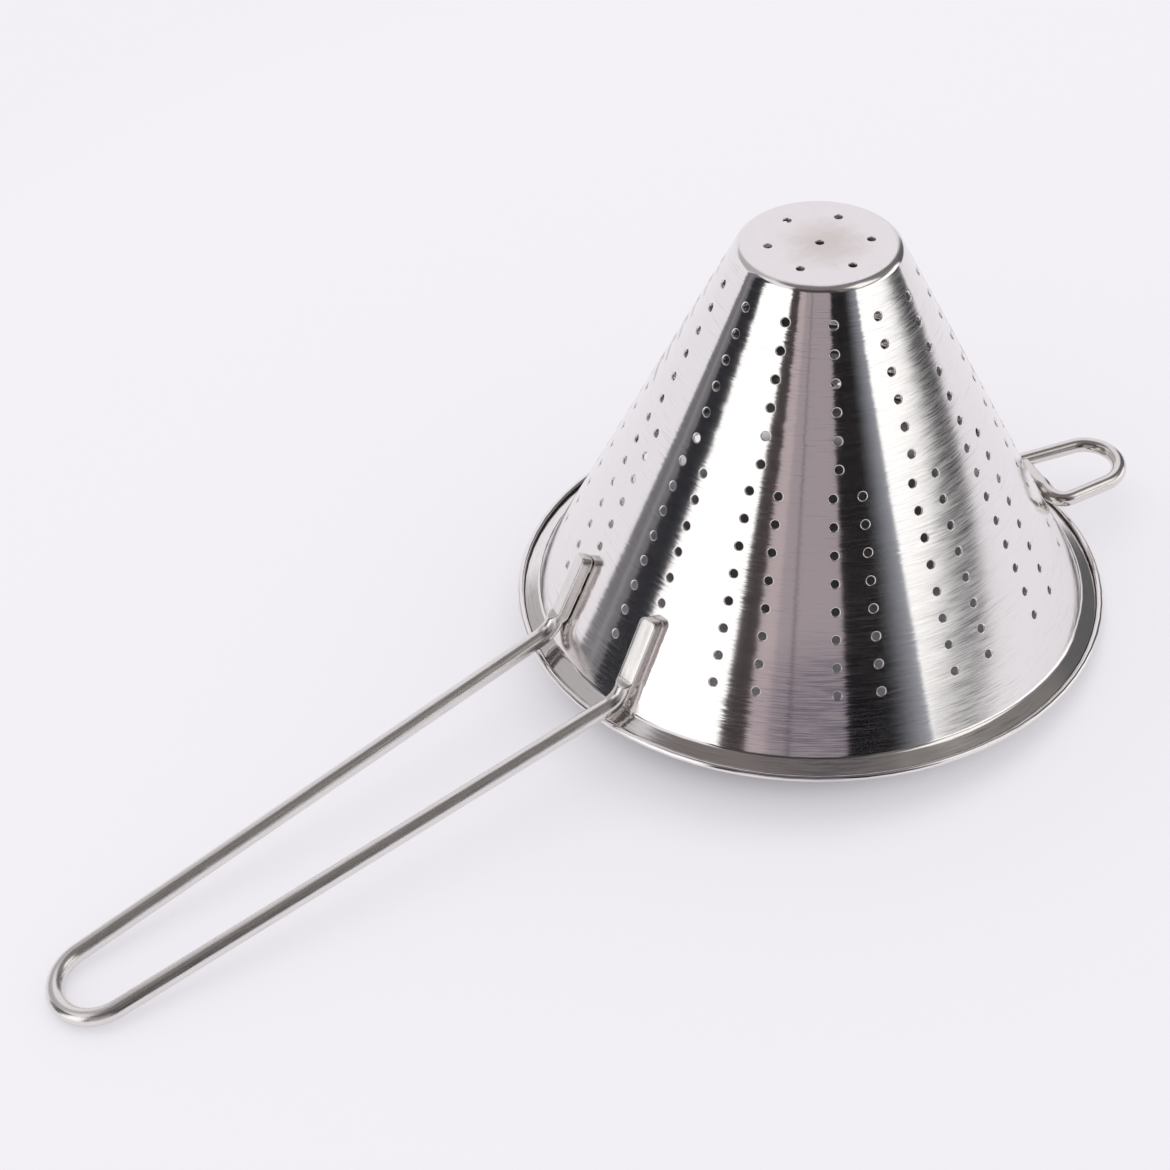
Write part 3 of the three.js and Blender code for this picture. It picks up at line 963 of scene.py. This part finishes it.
@dataclass
class RestHook:
    """The level loop of thinner wire beside the rim, with its base bar along the cone.

    Sizes are in millimetres and angles in degrees. The root's sink and the bar's gap are shares of the wire's
    radius: how far the upper leg runs in past the bar's middle, and how far the bar ends short of the leg's
    middle. The cut's shares are places along the upper leg, where its edge is worn by the cut's depths.
    """

    cone: PerforatedCone
    azimuth: float = -9.6
    height: float = 14.2
    wire_radius: float = 2.35
    reach: float = 27.0
    end_radius: float = 9.7
    half_width: float = 11.1
    corner: float = 5.8
    lean: float = 6.0
    rise: float = 3.5
    bar_thickness: float = 3.6
    bar_width: float = 4.8
    root_sink: float = 0.75
    bar_gap: float = 0.9
    seat: float = 0.12
    cut_shares: tuple[float, ...] = (0.0, 0.008, 0.02)
    cut_depths: tuple[float, ...] = (0.3, 0.1, 0.0)
    leg_shares: Pair = (0.1, 0.95)
    sides: int = 36
    upper_stations: int = 12
    end_stations: int = 73
    lower_stations: int = 14
    corner_steps: int = 16
    bar_stations: int = 16
    press_stations: int = 5

    def path(self) -> tuple[Array, Array, Array]:
        """Works out the wire's path on the cone's +X side.

        The path runs from the cut end of the upper leg along it, round the end's arc, back along the lower
        leg, round a small corner and along the bar, which is pressed against the cone.

        Returns:
            Points, outward ways and how far each station is pressed.
        """
        cone = self.cone
        lean, rise = math.radians(self.lean), math.radians(self.rise)
        normal = np.array([cone.out[0], 0.0, cone.out[1]])
        out = np.array([math.cos(rise), 0.0, math.sin(rise)])
        side = np.array([math.sin(lean) * cone.up[0], math.cos(lean), math.sin(lean) * cone.up[1]])
        base = np.array([cone.radius_at(self.height), 0.0, self.height])
        base = base + (self.seat + self.wire_radius) * normal
        middle = self.reach - self.end_radius
        touch = touching_angle((-middle, self.half_width), self.end_radius)
        angles = np.linspace(touch, -touch, self.end_stations)[:, None]
        end = base + (middle + self.end_radius * np.cos(angles)) * out
        end = end + self.end_radius * np.sin(angles) * side
        root = base - self.root_sink * self.wire_radius * out + self.half_width * side
        corner = base - self.half_width * side
        bar_end = base + (self.half_width - self.wire_radius * self.bar_gap) * side
        to_leg, to_bar = unit(end[-1] - corner), unit(bar_end - corner)
        length = bend_reach(self.corner, to_leg, to_bar)
        start, stop = corner + length * to_leg, corner + length * to_bar
        shares = np.concatenate([self.cut_shares, np.linspace(*self.leg_shares, self.upper_stations)])
        upper = straight(root, end[0], shares)
        lower = straight(end[-1], start, np.linspace(0.0, 1.0, self.lower_stations)[1:-1])
        turned = bend_curve(start, corner, stop, self.corner_steps)
        bar = straight(stop, bar_end, np.linspace(0.0, 1.0, self.bar_stations)[1:])
        points = np.concatenate([upper, end, lower, turned, bar])
        loop_up = unit(np.cross(out, side))
        before = len(points) - len(bar)
        pressed = smooth_step((np.arange(len(points)) - before) / self.press_stations)
        return points, np.cross(path_runs(points), loop_up), pressed

    def rings(self) -> Array:
        """Carries the section along the loop and turns it to the hook's azimuth.

        Returns:
            Stations by sides by 3.
        """
        points, outward, pressed = self.path()
        section = WireSection.pressed(self.wire_radius, self.bar_width, self.bar_thickness, pressed)
        blunt = np.zeros(len(points))
        blunt[: len(self.cut_depths)] = self.cut_depths
        section = section.trimmed(blunt, blunt)
        made = section.rings(points, path_runs(points), outward, self.sides)
        return made @ turn_matrix("Z", self.azimuth).T

    def build(self, stance: Stance, material: bpy.types.Material) -> bpy.types.Object:
        """Builds the hook as one closed piece."""
        patch = tube_patch(self.rings())
        return make_piece("hook_loop", patch, stance, material, Node.HOOK)


class NodeBoard:
    """A short way to add shader nodes and link them."""

    def __init__(self, tree: bpy.types.NodeTree) -> None:
        """Starts with an empty tree."""
        self.tree = tree
        tree.nodes.clear()

    def add(self, kind: str, inputs: dict[str | int, object] | None = None,
            **settings: object) -> bpy.types.Node:
        """Adds a node.

        Args:
            kind: the node's type name.
            inputs: values or sockets for its inputs, by name or place.
            settings: the node's own settings.

        Returns:
            The new node.
        """
        node = self.tree.nodes.new(kind)
        for name, value in settings.items():
            setattr(node, name, value)
        for name, value in (inputs or {}).items():
            if isinstance(value, Socket):
                self.tree.links.new(value, node.inputs[name])
            else:
                node.inputs[name].default_value = value
        return node

    def math(self, operation: str, *values: Socket | float) -> Socket:
        """Adds a math node of values or sockets and gives its result."""
        return self.add("ShaderNodeMath", dict(enumerate(values)), operation=operation).outputs["Value"]

    def vector(self, operation: str, first: Socket, second: Socket | Triple) -> Socket:
        """Adds a math node of two vectors and gives the vector that results."""
        return self.add("ShaderNodeVectorMath", {0: first, 1: second}, operation=operation).outputs["Vector"]

    def mix(self, share: Socket, first: Socket | Triple, second: Socket | Triple) -> Socket:
        """Mixes two colours or colour sockets by a share."""
        first, second = ((*color, 1.0) if isinstance(color, tuple) else color for color in (first, second))
        return self.add("ShaderNodeMix", {0: share, 6: first, 7: second}, data_type="RGBA").outputs[2]

    def spread(self, value: Socket, source: Pair, target: Pair) -> Socket:
        """Takes a value from one range to another, cut to it and level at both ends.

        Args:
            value: the value.
            source: start and end of its own range.
            target: what they become.

        Returns:
            The new value.
        """
        values = {
            "Value": value,
            "From Min": source[0],
            "From Max": source[1],
            "To Min": target[0],
            "To Max": target[1],
        }
        return self.add("ShaderNodeMapRange", values, interpolation_type="SMOOTHSTEP").outputs["Result"]

    def distance(self, place: Socket, point: Triple) -> Socket:
        """Gives how far a place lies from a point."""
        return self.add("ShaderNodeVectorMath", {0: place, 1: point}, operation="DISTANCE").outputs["Value"]

    def fade(self, offset: Socket, half: float, soft: float) -> Socket:
        """Gives 1 within a half width of 0, and 0 outside it, with a soft edge."""
        return self.spread(self.math("ABSOLUTE", offset), (half - soft / 2, half + soft / 2), (1.0, 0.0))

    def blend(self, share: Socket, shaders: tuple[Socket, Socket]) -> Socket:
        """Blends two shaders by a share."""
        return self.add("ShaderNodeMixShader", {0: share, 1: shaders[0], 2: shaders[1]}).outputs["Shader"]


def new_material(name: str) -> tuple[bpy.types.Material, NodeBoard]:
    """Makes a material without nodes.

    Args:
        name: name of the material.

    Returns:
        The material and the board for its nodes.
    """
    material = bpy.data.materials.new(name)
    material.use_nodes = True
    return material, NodeBoard(material.node_tree)


@dataclass(frozen=True)
class SteelFinish:
    """A bright steel with fine lines.

    The lines are noise that is stretched along their lay, stronger in some zones than in others. They roughen
    and darken the steel a little and tip its normal, so that reflections end in ragged streaks. Each range is
    the part of the noise that becomes strength, roughness or a dark scratch.
    """

    line_layers: ClassVar[float] = 3.0
    zone_layers: ClassVar[float] = 1.0
    layer_share: ClassVar[float] = 0.6
    zone_range: ClassVar[Pair] = (0.35, 0.65)
    zone_strength: ClassVar[Pair] = (0.35, 1.0)
    rough_range: ClassVar[Pair] = (0.3, 0.7)
    scratch_range: ClassVar[Pair] = (0.56, 0.74)
    name: str
    color: Triple
    line_color: Triple
    roughness: float
    roughness_spread: float
    anisotropy: float
    line_stretch: Triple
    zone_stretch: Triple
    along_tip: float
    across_tip: float

    def coordinates(self, board: NodeBoard, stance: Stance) -> Socket:
        """Gives the socket of the coordinates that the lines follow: along and round the wire."""
        return board.add("ShaderNodeTexCoord").outputs["UV"]

    def noise(self, board: NodeBoard, source: Socket, stretch: Triple, layers: float,
              twist: float = 0.0) -> bpy.types.Node:
        """Adds a stretched noise.

        Args:
            board: where its nodes go.
            source: the coordinates.
            stretch: how often it changes along each axis.
            layers: how many finer layers it has.
            twist: how far it is stirred.

        Returns:
            The noise node.
        """
        mapped = board.add("ShaderNodeMapping", {"Vector": source, "Scale": stretch}).outputs["Vector"]
        layered = {"Detail": layers, "Roughness": self.layer_share}
        return board.add(
            "ShaderNodeTexNoise", {"Vector": mapped, "Scale": 1.0, **layered, "Distortion": twist}
        )

    def tip(self, board: NodeBoard, normal: Socket, way: Socket, height: Socket, amount: Socket) -> Socket:
        """Tips a normal: adds the way times the amount times the height's distance from its middle.

        Args:
            board: where the nodes go.
            normal: the normal.
            way: the way to tip it.
            height: noise from 0 to 1.
            amount: how far it tips.

        Returns:
            The tipped normal, not scaled to length 1.
        """
        size = board.math("MULTIPLY", board.math("SUBTRACT", height, 0.5), amount)
        step = board.add("ShaderNodeVectorMath", {0: way, "Scale": size}, operation="SCALE").outputs["Vector"]
        return board.vector("ADD", normal, step)

    def strength(self, board: NodeBoard, source: Socket) -> Socket:
        """Gives how strong the lines are at each place, in soft zones."""
        zones = self.noise(board, source, self.zone_stretch, self.zone_layers).outputs["Fac"]
        return board.spread(zones, self.zone_range, self.zone_strength)

    def wear_and_shade(self, board: NodeBoard, source: Socket, look: dict[str, Socket]) -> dict[str, Socket]:
        """Gives the colour, roughness and tangent after wear and painted shade; plain wire has none."""
        return look

    def material(self, stance: Stance) -> bpy.types.Material:
        """Builds the material's nodes.

        Args:
            stance: how the cone's frame stands, to lay lines round its axis.

        Returns:
            The material.
        """
        material, board = new_material(self.name)
        source = self.coordinates(board, stance)
        noise = self.noise(board, source, self.line_stretch, self.line_layers)
        lines = board.add("ShaderNodeSeparateColor", {"Color": noise.outputs["Color"]}).outputs
        strength = self.strength(board, source)
        normal = board.add("ShaderNodeNewGeometry").outputs["Normal"]
        along = board.add("ShaderNodeTangent", direction_type="UV_MAP", uv_map="lay").outputs["Tangent"]
        across = board.vector("CROSS_PRODUCT", normal, along)
        tipped = normal
        for way, height, amount in ((along, "Red", self.along_tip), (across, "Green", self.across_tip)):
            size = board.math("MULTIPLY", strength, amount)
            tipped = self.tip(board, tipped, way, lines[height], size)
        level = board.add("ShaderNodeVectorMath", {0: tipped}, operation="NORMALIZE").outputs["Vector"]
        smooth, dull = self.roughness - self.roughness_spread, self.roughness + self.roughness_spread
        roughness = board.spread(lines["Blue"], self.rough_range, (smooth, dull))
        scratched = board.spread(lines["Green"], self.scratch_range, (0.0, 1.0))
        color = board.mix(board.math("MULTIPLY", scratched, strength), self.color, self.line_color)
        look = self.wear_and_shade(board, source, {"Base Color": color, "Roughness": roughness, "Tangent": across})
        fixed = {"Metallic": 1.0, "Anisotropic": self.anisotropy, "Normal": level}
        steel = board.add("ShaderNodeBsdfPrincipled", {**fixed, **look})
        board.add("ShaderNodeOutputMaterial", {"Surface": steel.outputs["BSDF"]})
        return material


@dataclass(frozen=True)
class SheetFinish(SteelFinish):
    """The sheet's finish: lines round the axis, a scuffed foot, painted shade in the crease of the curl and a dull
    end with a warm patch that is partly painted shade.

    Places and lengths are in metres of the cone's frame. A zone is the two heights, and a reach the two
    distances, between which a trait comes or goes.
    """

    foot_zone: Pair
    foot_lines: float
    end_zone: Pair
    end_lines: float
    scuff_middle: Triple
    scuff_reach: Pair
    scuff_stretch: Triple
    scuff_range: Pair
    scuff_strength: Pair
    scuff_share: float
    scuff_color: Triple
    # painted shade: a dark line in the crevice between the curl and the flange
    crease_shade_middle: Triple
    crease_shade_radius: float
    crease_shade_width: Pair
    crease_shade_zone: Pair
    crease_shade_share: float
    crease_shade_color: Triple
    flat_zone: Pair
    end_color: Triple
    end_roughness: float
    end_across: Triple
    marks_stretch: Triple
    marks_layers: float
    marks_strength: Pair
    cloud_stretch: Triple
    cloud_reach: float
    twist: float
    # the patch is partly a warm tone and partly painted shade of a shallow dish in the middle
    patch_middle: Triple
    patch_reach: Pair
    patch_tone_and_shade: Triple

    def coordinates(self, board: NodeBoard, stance: Stance) -> Socket:
        """Takes the place from the part's frame to the cone's frame, in metres.

        Args:
            board: where the nodes go.
            stance: how the cone's frame stands.

        Returns:
            The socket of the place.
        """
        location, rotation = stance.mapping()
        place = board.add("ShaderNodeTexCoord").outputs["Object"]
        return board.add(
            "ShaderNodeMapping", {"Vector": place, "Location": location, "Rotation": rotation}
        ).outputs["Vector"]

    def height(self, board: NodeBoard, source: Socket) -> Socket:
        """Gives the height over the mouth of a place in the cone's frame."""
        return board.add("ShaderNodeSeparateXYZ", {"Vector": source}).outputs["Z"]

    def strength(self, board: NodeBoard, source: Socket) -> Socket:
        """Gives how strong the lines are: in soft zones, and more towards the cone's foot and its end.

        Args:
            board: where the nodes go.
            source: place in the cone's frame.

        Returns:
            The strength.
        """
        zones = super().strength(board, source)
        height = self.height(board, source)
        foot = board.spread(height, self.foot_zone, (self.foot_lines, 0.0))
        end = board.spread(height, self.end_zone, (0.0, self.end_lines))
        return board.math("MULTIPLY", zones, board.math("ADD", board.math("ADD", foot, end), 1.0))

    def scuffs(self, board: NodeBoard, source: Socket) -> Socket:
        """Gives the share of the scuffs: noise in lines, fading round the scuffed place.

        Args:
            board: where the nodes go.
            source: place in the cone's frame.

        Returns:
            The share, from 0 to 1.
        """
        noise = self.noise(board, source, self.scuff_stretch, self.line_layers).outputs["Fac"]
        radius = board.distance(source, self.scuff_middle)
        near = board.spread(radius, self.scuff_reach, (self.scuff_share, 0.0))
        return board.math("MULTIPLY", board.spread(noise, self.scuff_range, self.scuff_strength), near)

    def crease_shade(self, board: NodeBoard, source: Socket) -> Socket:
        """Gives the share of the painted shade in the crevice where the curl meets the flange, on the flange's upper
        side.

        Args:
            board: where the nodes go.
            source: place in the cone's frame.

        Returns:
            The share, from 0 to 1.
        """
        beside = board.math("SUBTRACT", board.distance(source, self.crease_shade_middle), self.crease_shade_radius)
        line = board.spread(board.math("ABSOLUTE", beside), self.crease_shade_width, (self.crease_shade_share, 0.0))
        low = board.spread(self.height(board, source), self.crease_shade_zone, (1.0, 0.0))
        return board.math("MULTIPLY", line, low)

    def end_tone_and_shade(self, board: NodeBoard, source: Socket) -> Socket:
        """Gives the flat end's colour: its own, and a darker warm patch with a ragged edge, partly a warm tone and
        partly painted shade that stands in for a shallow dish in the middle.

        Args:
            board: where the nodes go.
            source: place in the cone's frame.

        Returns:
            The colour.
        """
        cloud = self.noise(board, source, self.cloud_stretch, self.line_layers, self.twist).outputs["Fac"]
        radius = board.distance(source, self.patch_middle)
        ragged = board.math("ADD", radius, board.math("MULTIPLY", cloud, self.cloud_reach))
        return board.mix(board.spread(ragged, self.patch_reach, (1.0, 0.0)), self.end_color, self.patch_tone_and_shade)

    def wear_and_shade(self, board: NodeBoard, source: Socket, look: dict[str, Socket]) -> dict[str, Socket]:
        """Scuffs the foot, paints shade into the crease of the curl, and dulls the flat end round a warm patch that
        is partly painted shade.

        Args:
            board: where the nodes go.
            source: place in the cone's frame.
            look: colour, roughness and tangent of the lined steel.

        Returns:
            The same with the wear and the painted shade.
        """
        scuffed = board.mix(self.scuffs(board, source), look["Base Color"], self.scuff_color)
        # paints shade into the crevice between the curl and the flange
        crease_shaded = board.mix(self.crease_shade(board, source), scuffed, self.crease_shade_color)
        on_end = board.spread(self.height(board, source), self.flat_zone, (0.0, 1.0))
        marks = self.noise(board, source, self.marks_stretch, self.marks_layers, self.twist).outputs["Fac"]
        uneven = board.spread(marks, self.rough_range, self.marks_strength)
        dull = board.math("MULTIPLY", uneven, self.end_roughness)
        mixed = board.add("ShaderNodeMix", {0: on_end, 2: look["Roughness"], 3: dull}, data_type="FLOAT")
        turned = board.add(
            "ShaderNodeMix", {0: on_end, 4: look["Tangent"], 5: self.end_across}, data_type="VECTOR"
        )
        return {
            "Base Color": board.mix(on_end, crease_shaded, self.end_tone_and_shade(board, source)),
            "Roughness": mixed.outputs[0],
            "Tangent": turned.outputs[1],
        }


@dataclass(frozen=True)
class Card:
    """A card or wall of the studio that the steel mirrors.

    Its sides are azimuths to the right of the photograph's front and its ends are elevations, in degrees. The
    fall is how far it sinks with each degree to the right, and the slant how far it leans to the right with
    each degree up.
    """

    sides: Pair
    ends: Pair
    color: Triple
    soft_side: float = 1.4
    soft_end: float = 2.0
    fall: float = 0.0
    slant: float = 0.0

    def paint(self, board: NodeBoard, azimuth: Socket, elevation: Socket, under: Socket | Triple) -> Socket:
        """Mixes the card over what lies behind it.

        Args:
            board: where the nodes go.
            azimuth: azimuth of the direction.
            elevation: elevation of the direction.
            under: colour behind the card.

        Returns:
            The colour with the card.
        """
        middle, height = sum(self.sides) / 2, sum(self.ends) / 2
        half_width, half_height = (self.sides[1] - self.sides[0]) / 2, (self.ends[1] - self.ends[0]) / 2
        wrapped = board.math("WRAP", azimuth, middle + HALF_TURN, middle - HALF_TURN)
        offset = board.math("SUBTRACT", wrapped, middle)
        rise = board.math("SUBTRACT", elevation, height)
        leaned = board.math("MULTIPLY_ADD", rise, -self.slant, offset)
        sunk = board.math("MULTIPLY_ADD", offset, self.fall, rise)
        wide = board.fade(leaned, half_width, self.soft_side)
        tall = board.fade(sunk, half_height, self.soft_end)
        return board.mix(board.math("MULTIPLY", wide, tall), under, self.color)


@dataclass
class Studio:
    """The pale table, the soft light round it and the camera of the photograph's view.

    The eye is in millimetres of the cone's frame and the camera's angles are in degrees; its focal length is
    in widths of the picture. The other lengths are in metres. The table's shade and glow are set off from the
    cone's axis, away from the camera, and each reach is the two distances between which it comes or goes.
    """

    stance: Stance
    eye: Triple = (-431.3, -569.3, 573.3)
    heading: float = 58.4
    elevation: float = 38.74
    roll: float = -1.63
    focal_widths: float = 2.526623
    sensor_width: float = 36.0
    clip: Pair = (0.01, 50.0)
    pale: Triple = (0.893, 0.87, 0.917)
    dome: Triple = (0.885, 0.885, 0.885)
    shade: Triple = (0.2, 0.19, 0.19)
    shade_offset: float = 0.035
    shade_reach: Pair = (0.035, 0.06)
    glow: float = 0.5
    glow_offset: float = 0.006
    glow_reach: Pair = (0.071, 0.092)
    backdrop_reach: Pair = (0.3, 0.46)
    table_edges: Pair = (-0.5, 0.57)
    table_half_length: float = 3.0
    table_roughness: float = 0.8
    lamp_size: float = 1.8
    lamp_watts: float = 4.6
    lamp_place: Triple = (0.1, 0.35, 1.5)
    lamp_turn: Triple = (-0.23, 0.0, 0.0)

    def cards(self) -> list[Card]:
        """Lists the studio round the table; a later card stands before an earlier one.

        Returns:
            The ceiling, the walls, and the cards from the left round the front to the right.
        """
        white, warm = (1.3, 1.3, 1.3), (0.185, 0.165, 0.163)
        low = -20.0
        return [
            Card((-HALF_TURN, HALF_TURN), (66.0, 114.0), warm, soft_end=6.0),
            Card((50.0, 124.0), (17.0, 68.0), (0.22, 0.205, 0.2), soft_side=5.0, soft_end=5.0),
            Card((54.0, 93.0), (28.0, 58.0), (1.15, 1.12, 1.08), soft_side=8.0, soft_end=6.0),
            Card((-151.0, -108.0), (14.0, 64.0), (0.47, 0.45, 0.46), soft_side=6.0, soft_end=6.0),
            Card((120.0, 151.0), (low, 69.0), (0.115, 0.115, 0.12), soft_side=4.0, soft_end=4.0),
            Card((-45.0, 30.0), (low, 66.0), (0.06, 0.054, 0.054), soft_end=6.0),
            Card((28.0, 50.0), (low, 70.0), warm, soft_side=4.0, soft_end=4.0),
            Card((-105.6, -90.0), (low, 42.0), (0.165, 0.162, 0.175)),
            Card((-99.5, -97.0), (low, 42.0), (0.26, 0.255, 0.27), soft_side=2.5),
            Card((-93.0, -70.0), (low, 42.0), (0.022, 0.022, 0.028)),
            Card((-78.3, -37.0), (low, 38.0), white, slant=0.25),
            Card((-37.0, -24.0), (low, 40.0), (0.055, 0.044, 0.044)),
            Card((-26.3, 12.2), (low, 34.0), (0.37, 0.32, 0.345), soft_end=8.0),
            Card((-26.3, -18.5), (low, 34.0), (0.5, 0.42, 0.44), soft_side=3.0, soft_end=8.0),
            Card((-11.0, -9.8), (low, 34.0), (0.16, 0.135, 0.15), soft_side=1.2, soft_end=8.0),
            Card((12.2, 47.0), (low, 28.0), (0.009, 0.008, 0.0085), soft_end=8.0),
            Card((36.5, 60.0), (low, 24.0), (0.3, 0.315, 0.355), soft_side=18.0),
            Card((44.0, 116.0), (low, 19.0), white, soft_end=4.0),
            Card((44.0, 116.0), (2 * low, 0.0), (0.012, 0.012, 0.015), fall=0.12, soft_side=4.0),
        ]

    def ground_ways(self) -> tuple[Array, Array]:
        """Works out the level ways of the camera's heading.

        Returns:
            The way to the right and the way away from the camera.
        """
        heading = math.radians(self.heading)
        away = np.array([math.cos(heading), math.sin(heading), 0.0])
        return np.array([away[1], -away[0], 0.0]), away

    def camera(self) -> None:
        """Places the camera by its eye, heading, elevation and roll in the cone's frame."""
        elevation, roll = math.radians(self.elevation), math.radians(self.roll)
        right, away = self.ground_ways()
        forward = math.cos(elevation) * away - np.array([0.0, 0.0, math.sin(elevation)])
        down = np.cross(forward, right)
        turned_right = math.cos(roll) * right - math.sin(roll) * down
        turned_down = math.sin(roll) * right + math.cos(roll) * down
        axes = self.stance.direct(np.stack([turned_right, -turned_down, -forward]))
        matrix = np.eye(4)
        matrix[:3, :3] = axes.T
        matrix[:3, 3] = self.stance.place(np.array(self.eye))
        data = bpy.data.cameras.new("camera")
        data.sensor_width = self.sensor_width
        data.lens = self.sensor_width * self.focal_widths
        data.clip_start, data.clip_end = self.clip
        camera = link_object("camera", data)
        camera.matrix_world = Matrix(matrix.tolist())
        bpy.context.scene.camera = camera

    def floor(self) -> None:
        """Makes the pale table top, a long sheet that ends not far to the left and right of the strainer.

        Where the camera or the steel sees it, part of its colour is its own, so that shadows stay faint; the
        part under the cone has none of its own and is darker, as deep shade. Towards its ends the camera sees
        only its own colour, so that it runs into the backdrop.
        """
        right, away = self.ground_ways()
        middle = self.stance.place(np.zeros(3)) * np.array([1.0, 1.0, 0.0])
        left, last = self.table_edges
        far = self.table_half_length
        sides = np.array([[left, -far], [last, -far], [last, far], [left, far]])
        points = middle + sides[:, :1] * right + sides[:, 1:] * away
        mesh = bpy.data.meshes.new("table_top")
        mesh.from_pydata(points.tolist(), [], [(0, 1, 2, 3)])
        material, board = new_material("pale_table")
        place = board.add("ShaderNodeTexCoord").outputs["Object"]
        deep = board.distance(place, tuple(middle + self.shade_offset * away))
        color = board.mix(board.spread(deep, self.shade_reach, (0.0, 1.0)), self.shade, self.pale)
        radius = board.distance(place, tuple(middle + self.glow_offset * away))
        dull = {"Base Color": color, "Roughness": self.table_roughness}
        paint = board.add("ShaderNodeBsdfPrincipled", dull)
        plain = board.add("ShaderNodeEmission", {"Color": (*self.pale, 1.0), "Strength": 1.0})
        path = board.add("ShaderNodeLightPath").outputs
        outside = board.spread(radius, self.glow_reach, (0.0, self.glow))
        faded = board.math("MAXIMUM", outside, board.spread(radius, self.backdrop_reach, (0.0, 1.0)))
        shown = board.math("MULTIPLY", path["Is Camera Ray"], faded)
        mirrored = board.math("MULTIPLY", path["Is Glossy Ray"], outside)
        share = board.math("ADD", shown, mirrored)
        mixed = board.blend(share, (paint.outputs["BSDF"], plain.outputs["Emission"]))
        board.add("ShaderNodeOutputMaterial", {"Surface": mixed})
        mesh.materials.append(material)
        table = link_object("table_top", mesh)

    def world(self) -> None:
        """Makes the studio: a pale dome that lights everything, and the cards that the steel mirrors."""
        world = bpy.data.worlds.new("studio")
        bpy.context.scene.world = world
        world.use_nodes = True
        board = NodeBoard(world.node_tree)
        direction = board.add("ShaderNodeTexCoord").outputs["Generated"]
        part = board.add("ShaderNodeSeparateXYZ", {"Vector": direction}).outputs
        degree = math.degrees(1.0)
        angle = board.math("ARCTAN2", part["Y"], part["X"])
        azimuth = board.math("MULTIPLY_ADD", angle, degree, HALF_TURN - self.heading)
        elevation = board.math("MULTIPLY", board.math("ARCSINE", part["Z"]), degree)
        color = self.pale
        for card in self.cards():
            color = card.paint(board, azimuth, elevation, color)
        path = board.add("ShaderNodeLightPath").outputs
        plain = board.mix(path["Is Camera Ray"], self.dome, self.pale)
        lights = tuple(
            board.add("ShaderNodeBackground", {"Color": shown, "Strength": 1.0}).outputs["Background"]
            for shown in (plain, color)
        )
        board.add("ShaderNodeOutputWorld", {"Surface": board.blend(path["Is Glossy Ray"], lights)})

    def lamp(self) -> None:
        """Hangs one large soft lamp over the table, which lights it but isn't mirrored in the steel."""
        data = bpy.data.lights.new("overhead", "AREA")
        data.shape = "DISK"
        data.size = self.lamp_size
        data.energy = self.lamp_watts
        lamp = link_object("overhead", data)
        lamp.location = self.lamp_place
        lamp.rotation_euler = self.lamp_turn
        lamp.visible_glossy = False

    def build(self) -> None:
        """Builds the table, the surroundings, the lamp and the camera."""
        bpy.context.scene.view_settings.view_transform = "Standard"
        self.floor()
        self.world()
        self.lamp()
        self.camera()


SHEET_STEEL = SheetFinish(
    name="brushed_sheet",
    color=(0.86, 0.835, 0.82),
    line_color=(0.68, 0.66, 0.65),
    roughness=0.125,
    roughness_spread=0.03,
    anisotropy=0.8,
    line_stretch=(95.0, 95.0, 3600.0),
    zone_stretch=(24.0, 24.0, 60.0),
    along_tip=0.055,
    across_tip=0.07,
    foot_zone=(0.008, 0.032),
    foot_lines=0.3,
    end_zone=(0.095, 0.118),
    end_lines=0.7,
    scuff_middle=(-0.0415, -0.066, 0.014),
    scuff_reach=(0.008, 0.03),
    scuff_stretch=(90.0, 90.0, 3200.0),
    scuff_range=(0.42, 0.6),
    scuff_strength=(0.4, 1.0),
    scuff_share=0.8,
    scuff_color=(0.3, 0.3, 0.37),
    # painted shade: a dark line in the crevice between the curl and the flange
    crease_shade_middle=(0.0, 0.0, 0.001),
    crease_shade_radius=0.08776,
    crease_shade_width=(0.00012, 0.00034),
    crease_shade_zone=(0.0017, 0.0024),
    crease_shade_share=0.9,
    crease_shade_color=(0.09, 0.08, 0.076),
    flat_zone=(0.1239, 0.1245),
    end_color=(0.88, 0.85, 0.84),
    end_roughness=0.22,
    end_across=(0.524, 0.852, 0.0),
    marks_stretch=(900.0, 200.0, 1.0),
    marks_layers=2.0,
    marks_strength=(0.9, 1.1),
    cloud_stretch=(110.0, 180.0, 1.0),
    cloud_reach=0.01,
    twist=0.8,
    # the patch is partly a warm tone and partly painted shade of a shallow dish in the middle
    patch_middle=(0.0012, -0.0012, 0.1247),
    patch_reach=(0.007, 0.021),
    patch_tone_and_shade=(0.72, 0.665, 0.63),
)
HANDLE_STEEL = SteelFinish(
    name="drawn_wire",
    color=(0.8, 0.775, 0.755),
    line_color=(0.6, 0.57, 0.55),
    roughness=0.25,
    roughness_spread=0.06,
    anisotropy=0.4,
    line_stretch=(45.0, 44.0, 1.0),
    zone_stretch=(20.0, 3.0, 1.0),
    along_tip=0.05,
    across_tip=0.14,
)
HOOK_STEEL = SteelFinish(
    name="polished_wire",
    color=(0.78, 0.745, 0.72),
    line_color=(0.66, 0.62, 0.595),
    roughness=0.2,
    roughness_spread=0.04,
    anisotropy=0.3,
    line_stretch=(24.0, 26.0, 1.0),
    zone_stretch=(6.0, 3.0, 1.0),
    along_tip=0.04,
    across_tip=0.08,
)


def main() -> None:
    """Builds the strainer's pieces in order, then the studio round them."""
    logging.basicConfig(level=logging.INFO, format="%(name)s %(message)s")
    cone = PerforatedCone()
    handle = HandleWire(cone)
    hook = RestHook(cone)
    stance = Stance(tuple(cone.roll_middle), cone.roll_radius, handle.tip_middle(), handle.wire_radius)
    cone.build(stance, SHEET_STEEL.material(stance))
    handle.build(stance, HANDLE_STEEL.material(stance))
    hook.build(stance, HOOK_STEEL.material(stance))
    Studio(stance).build()


if __name__ == "__main__":
    main()
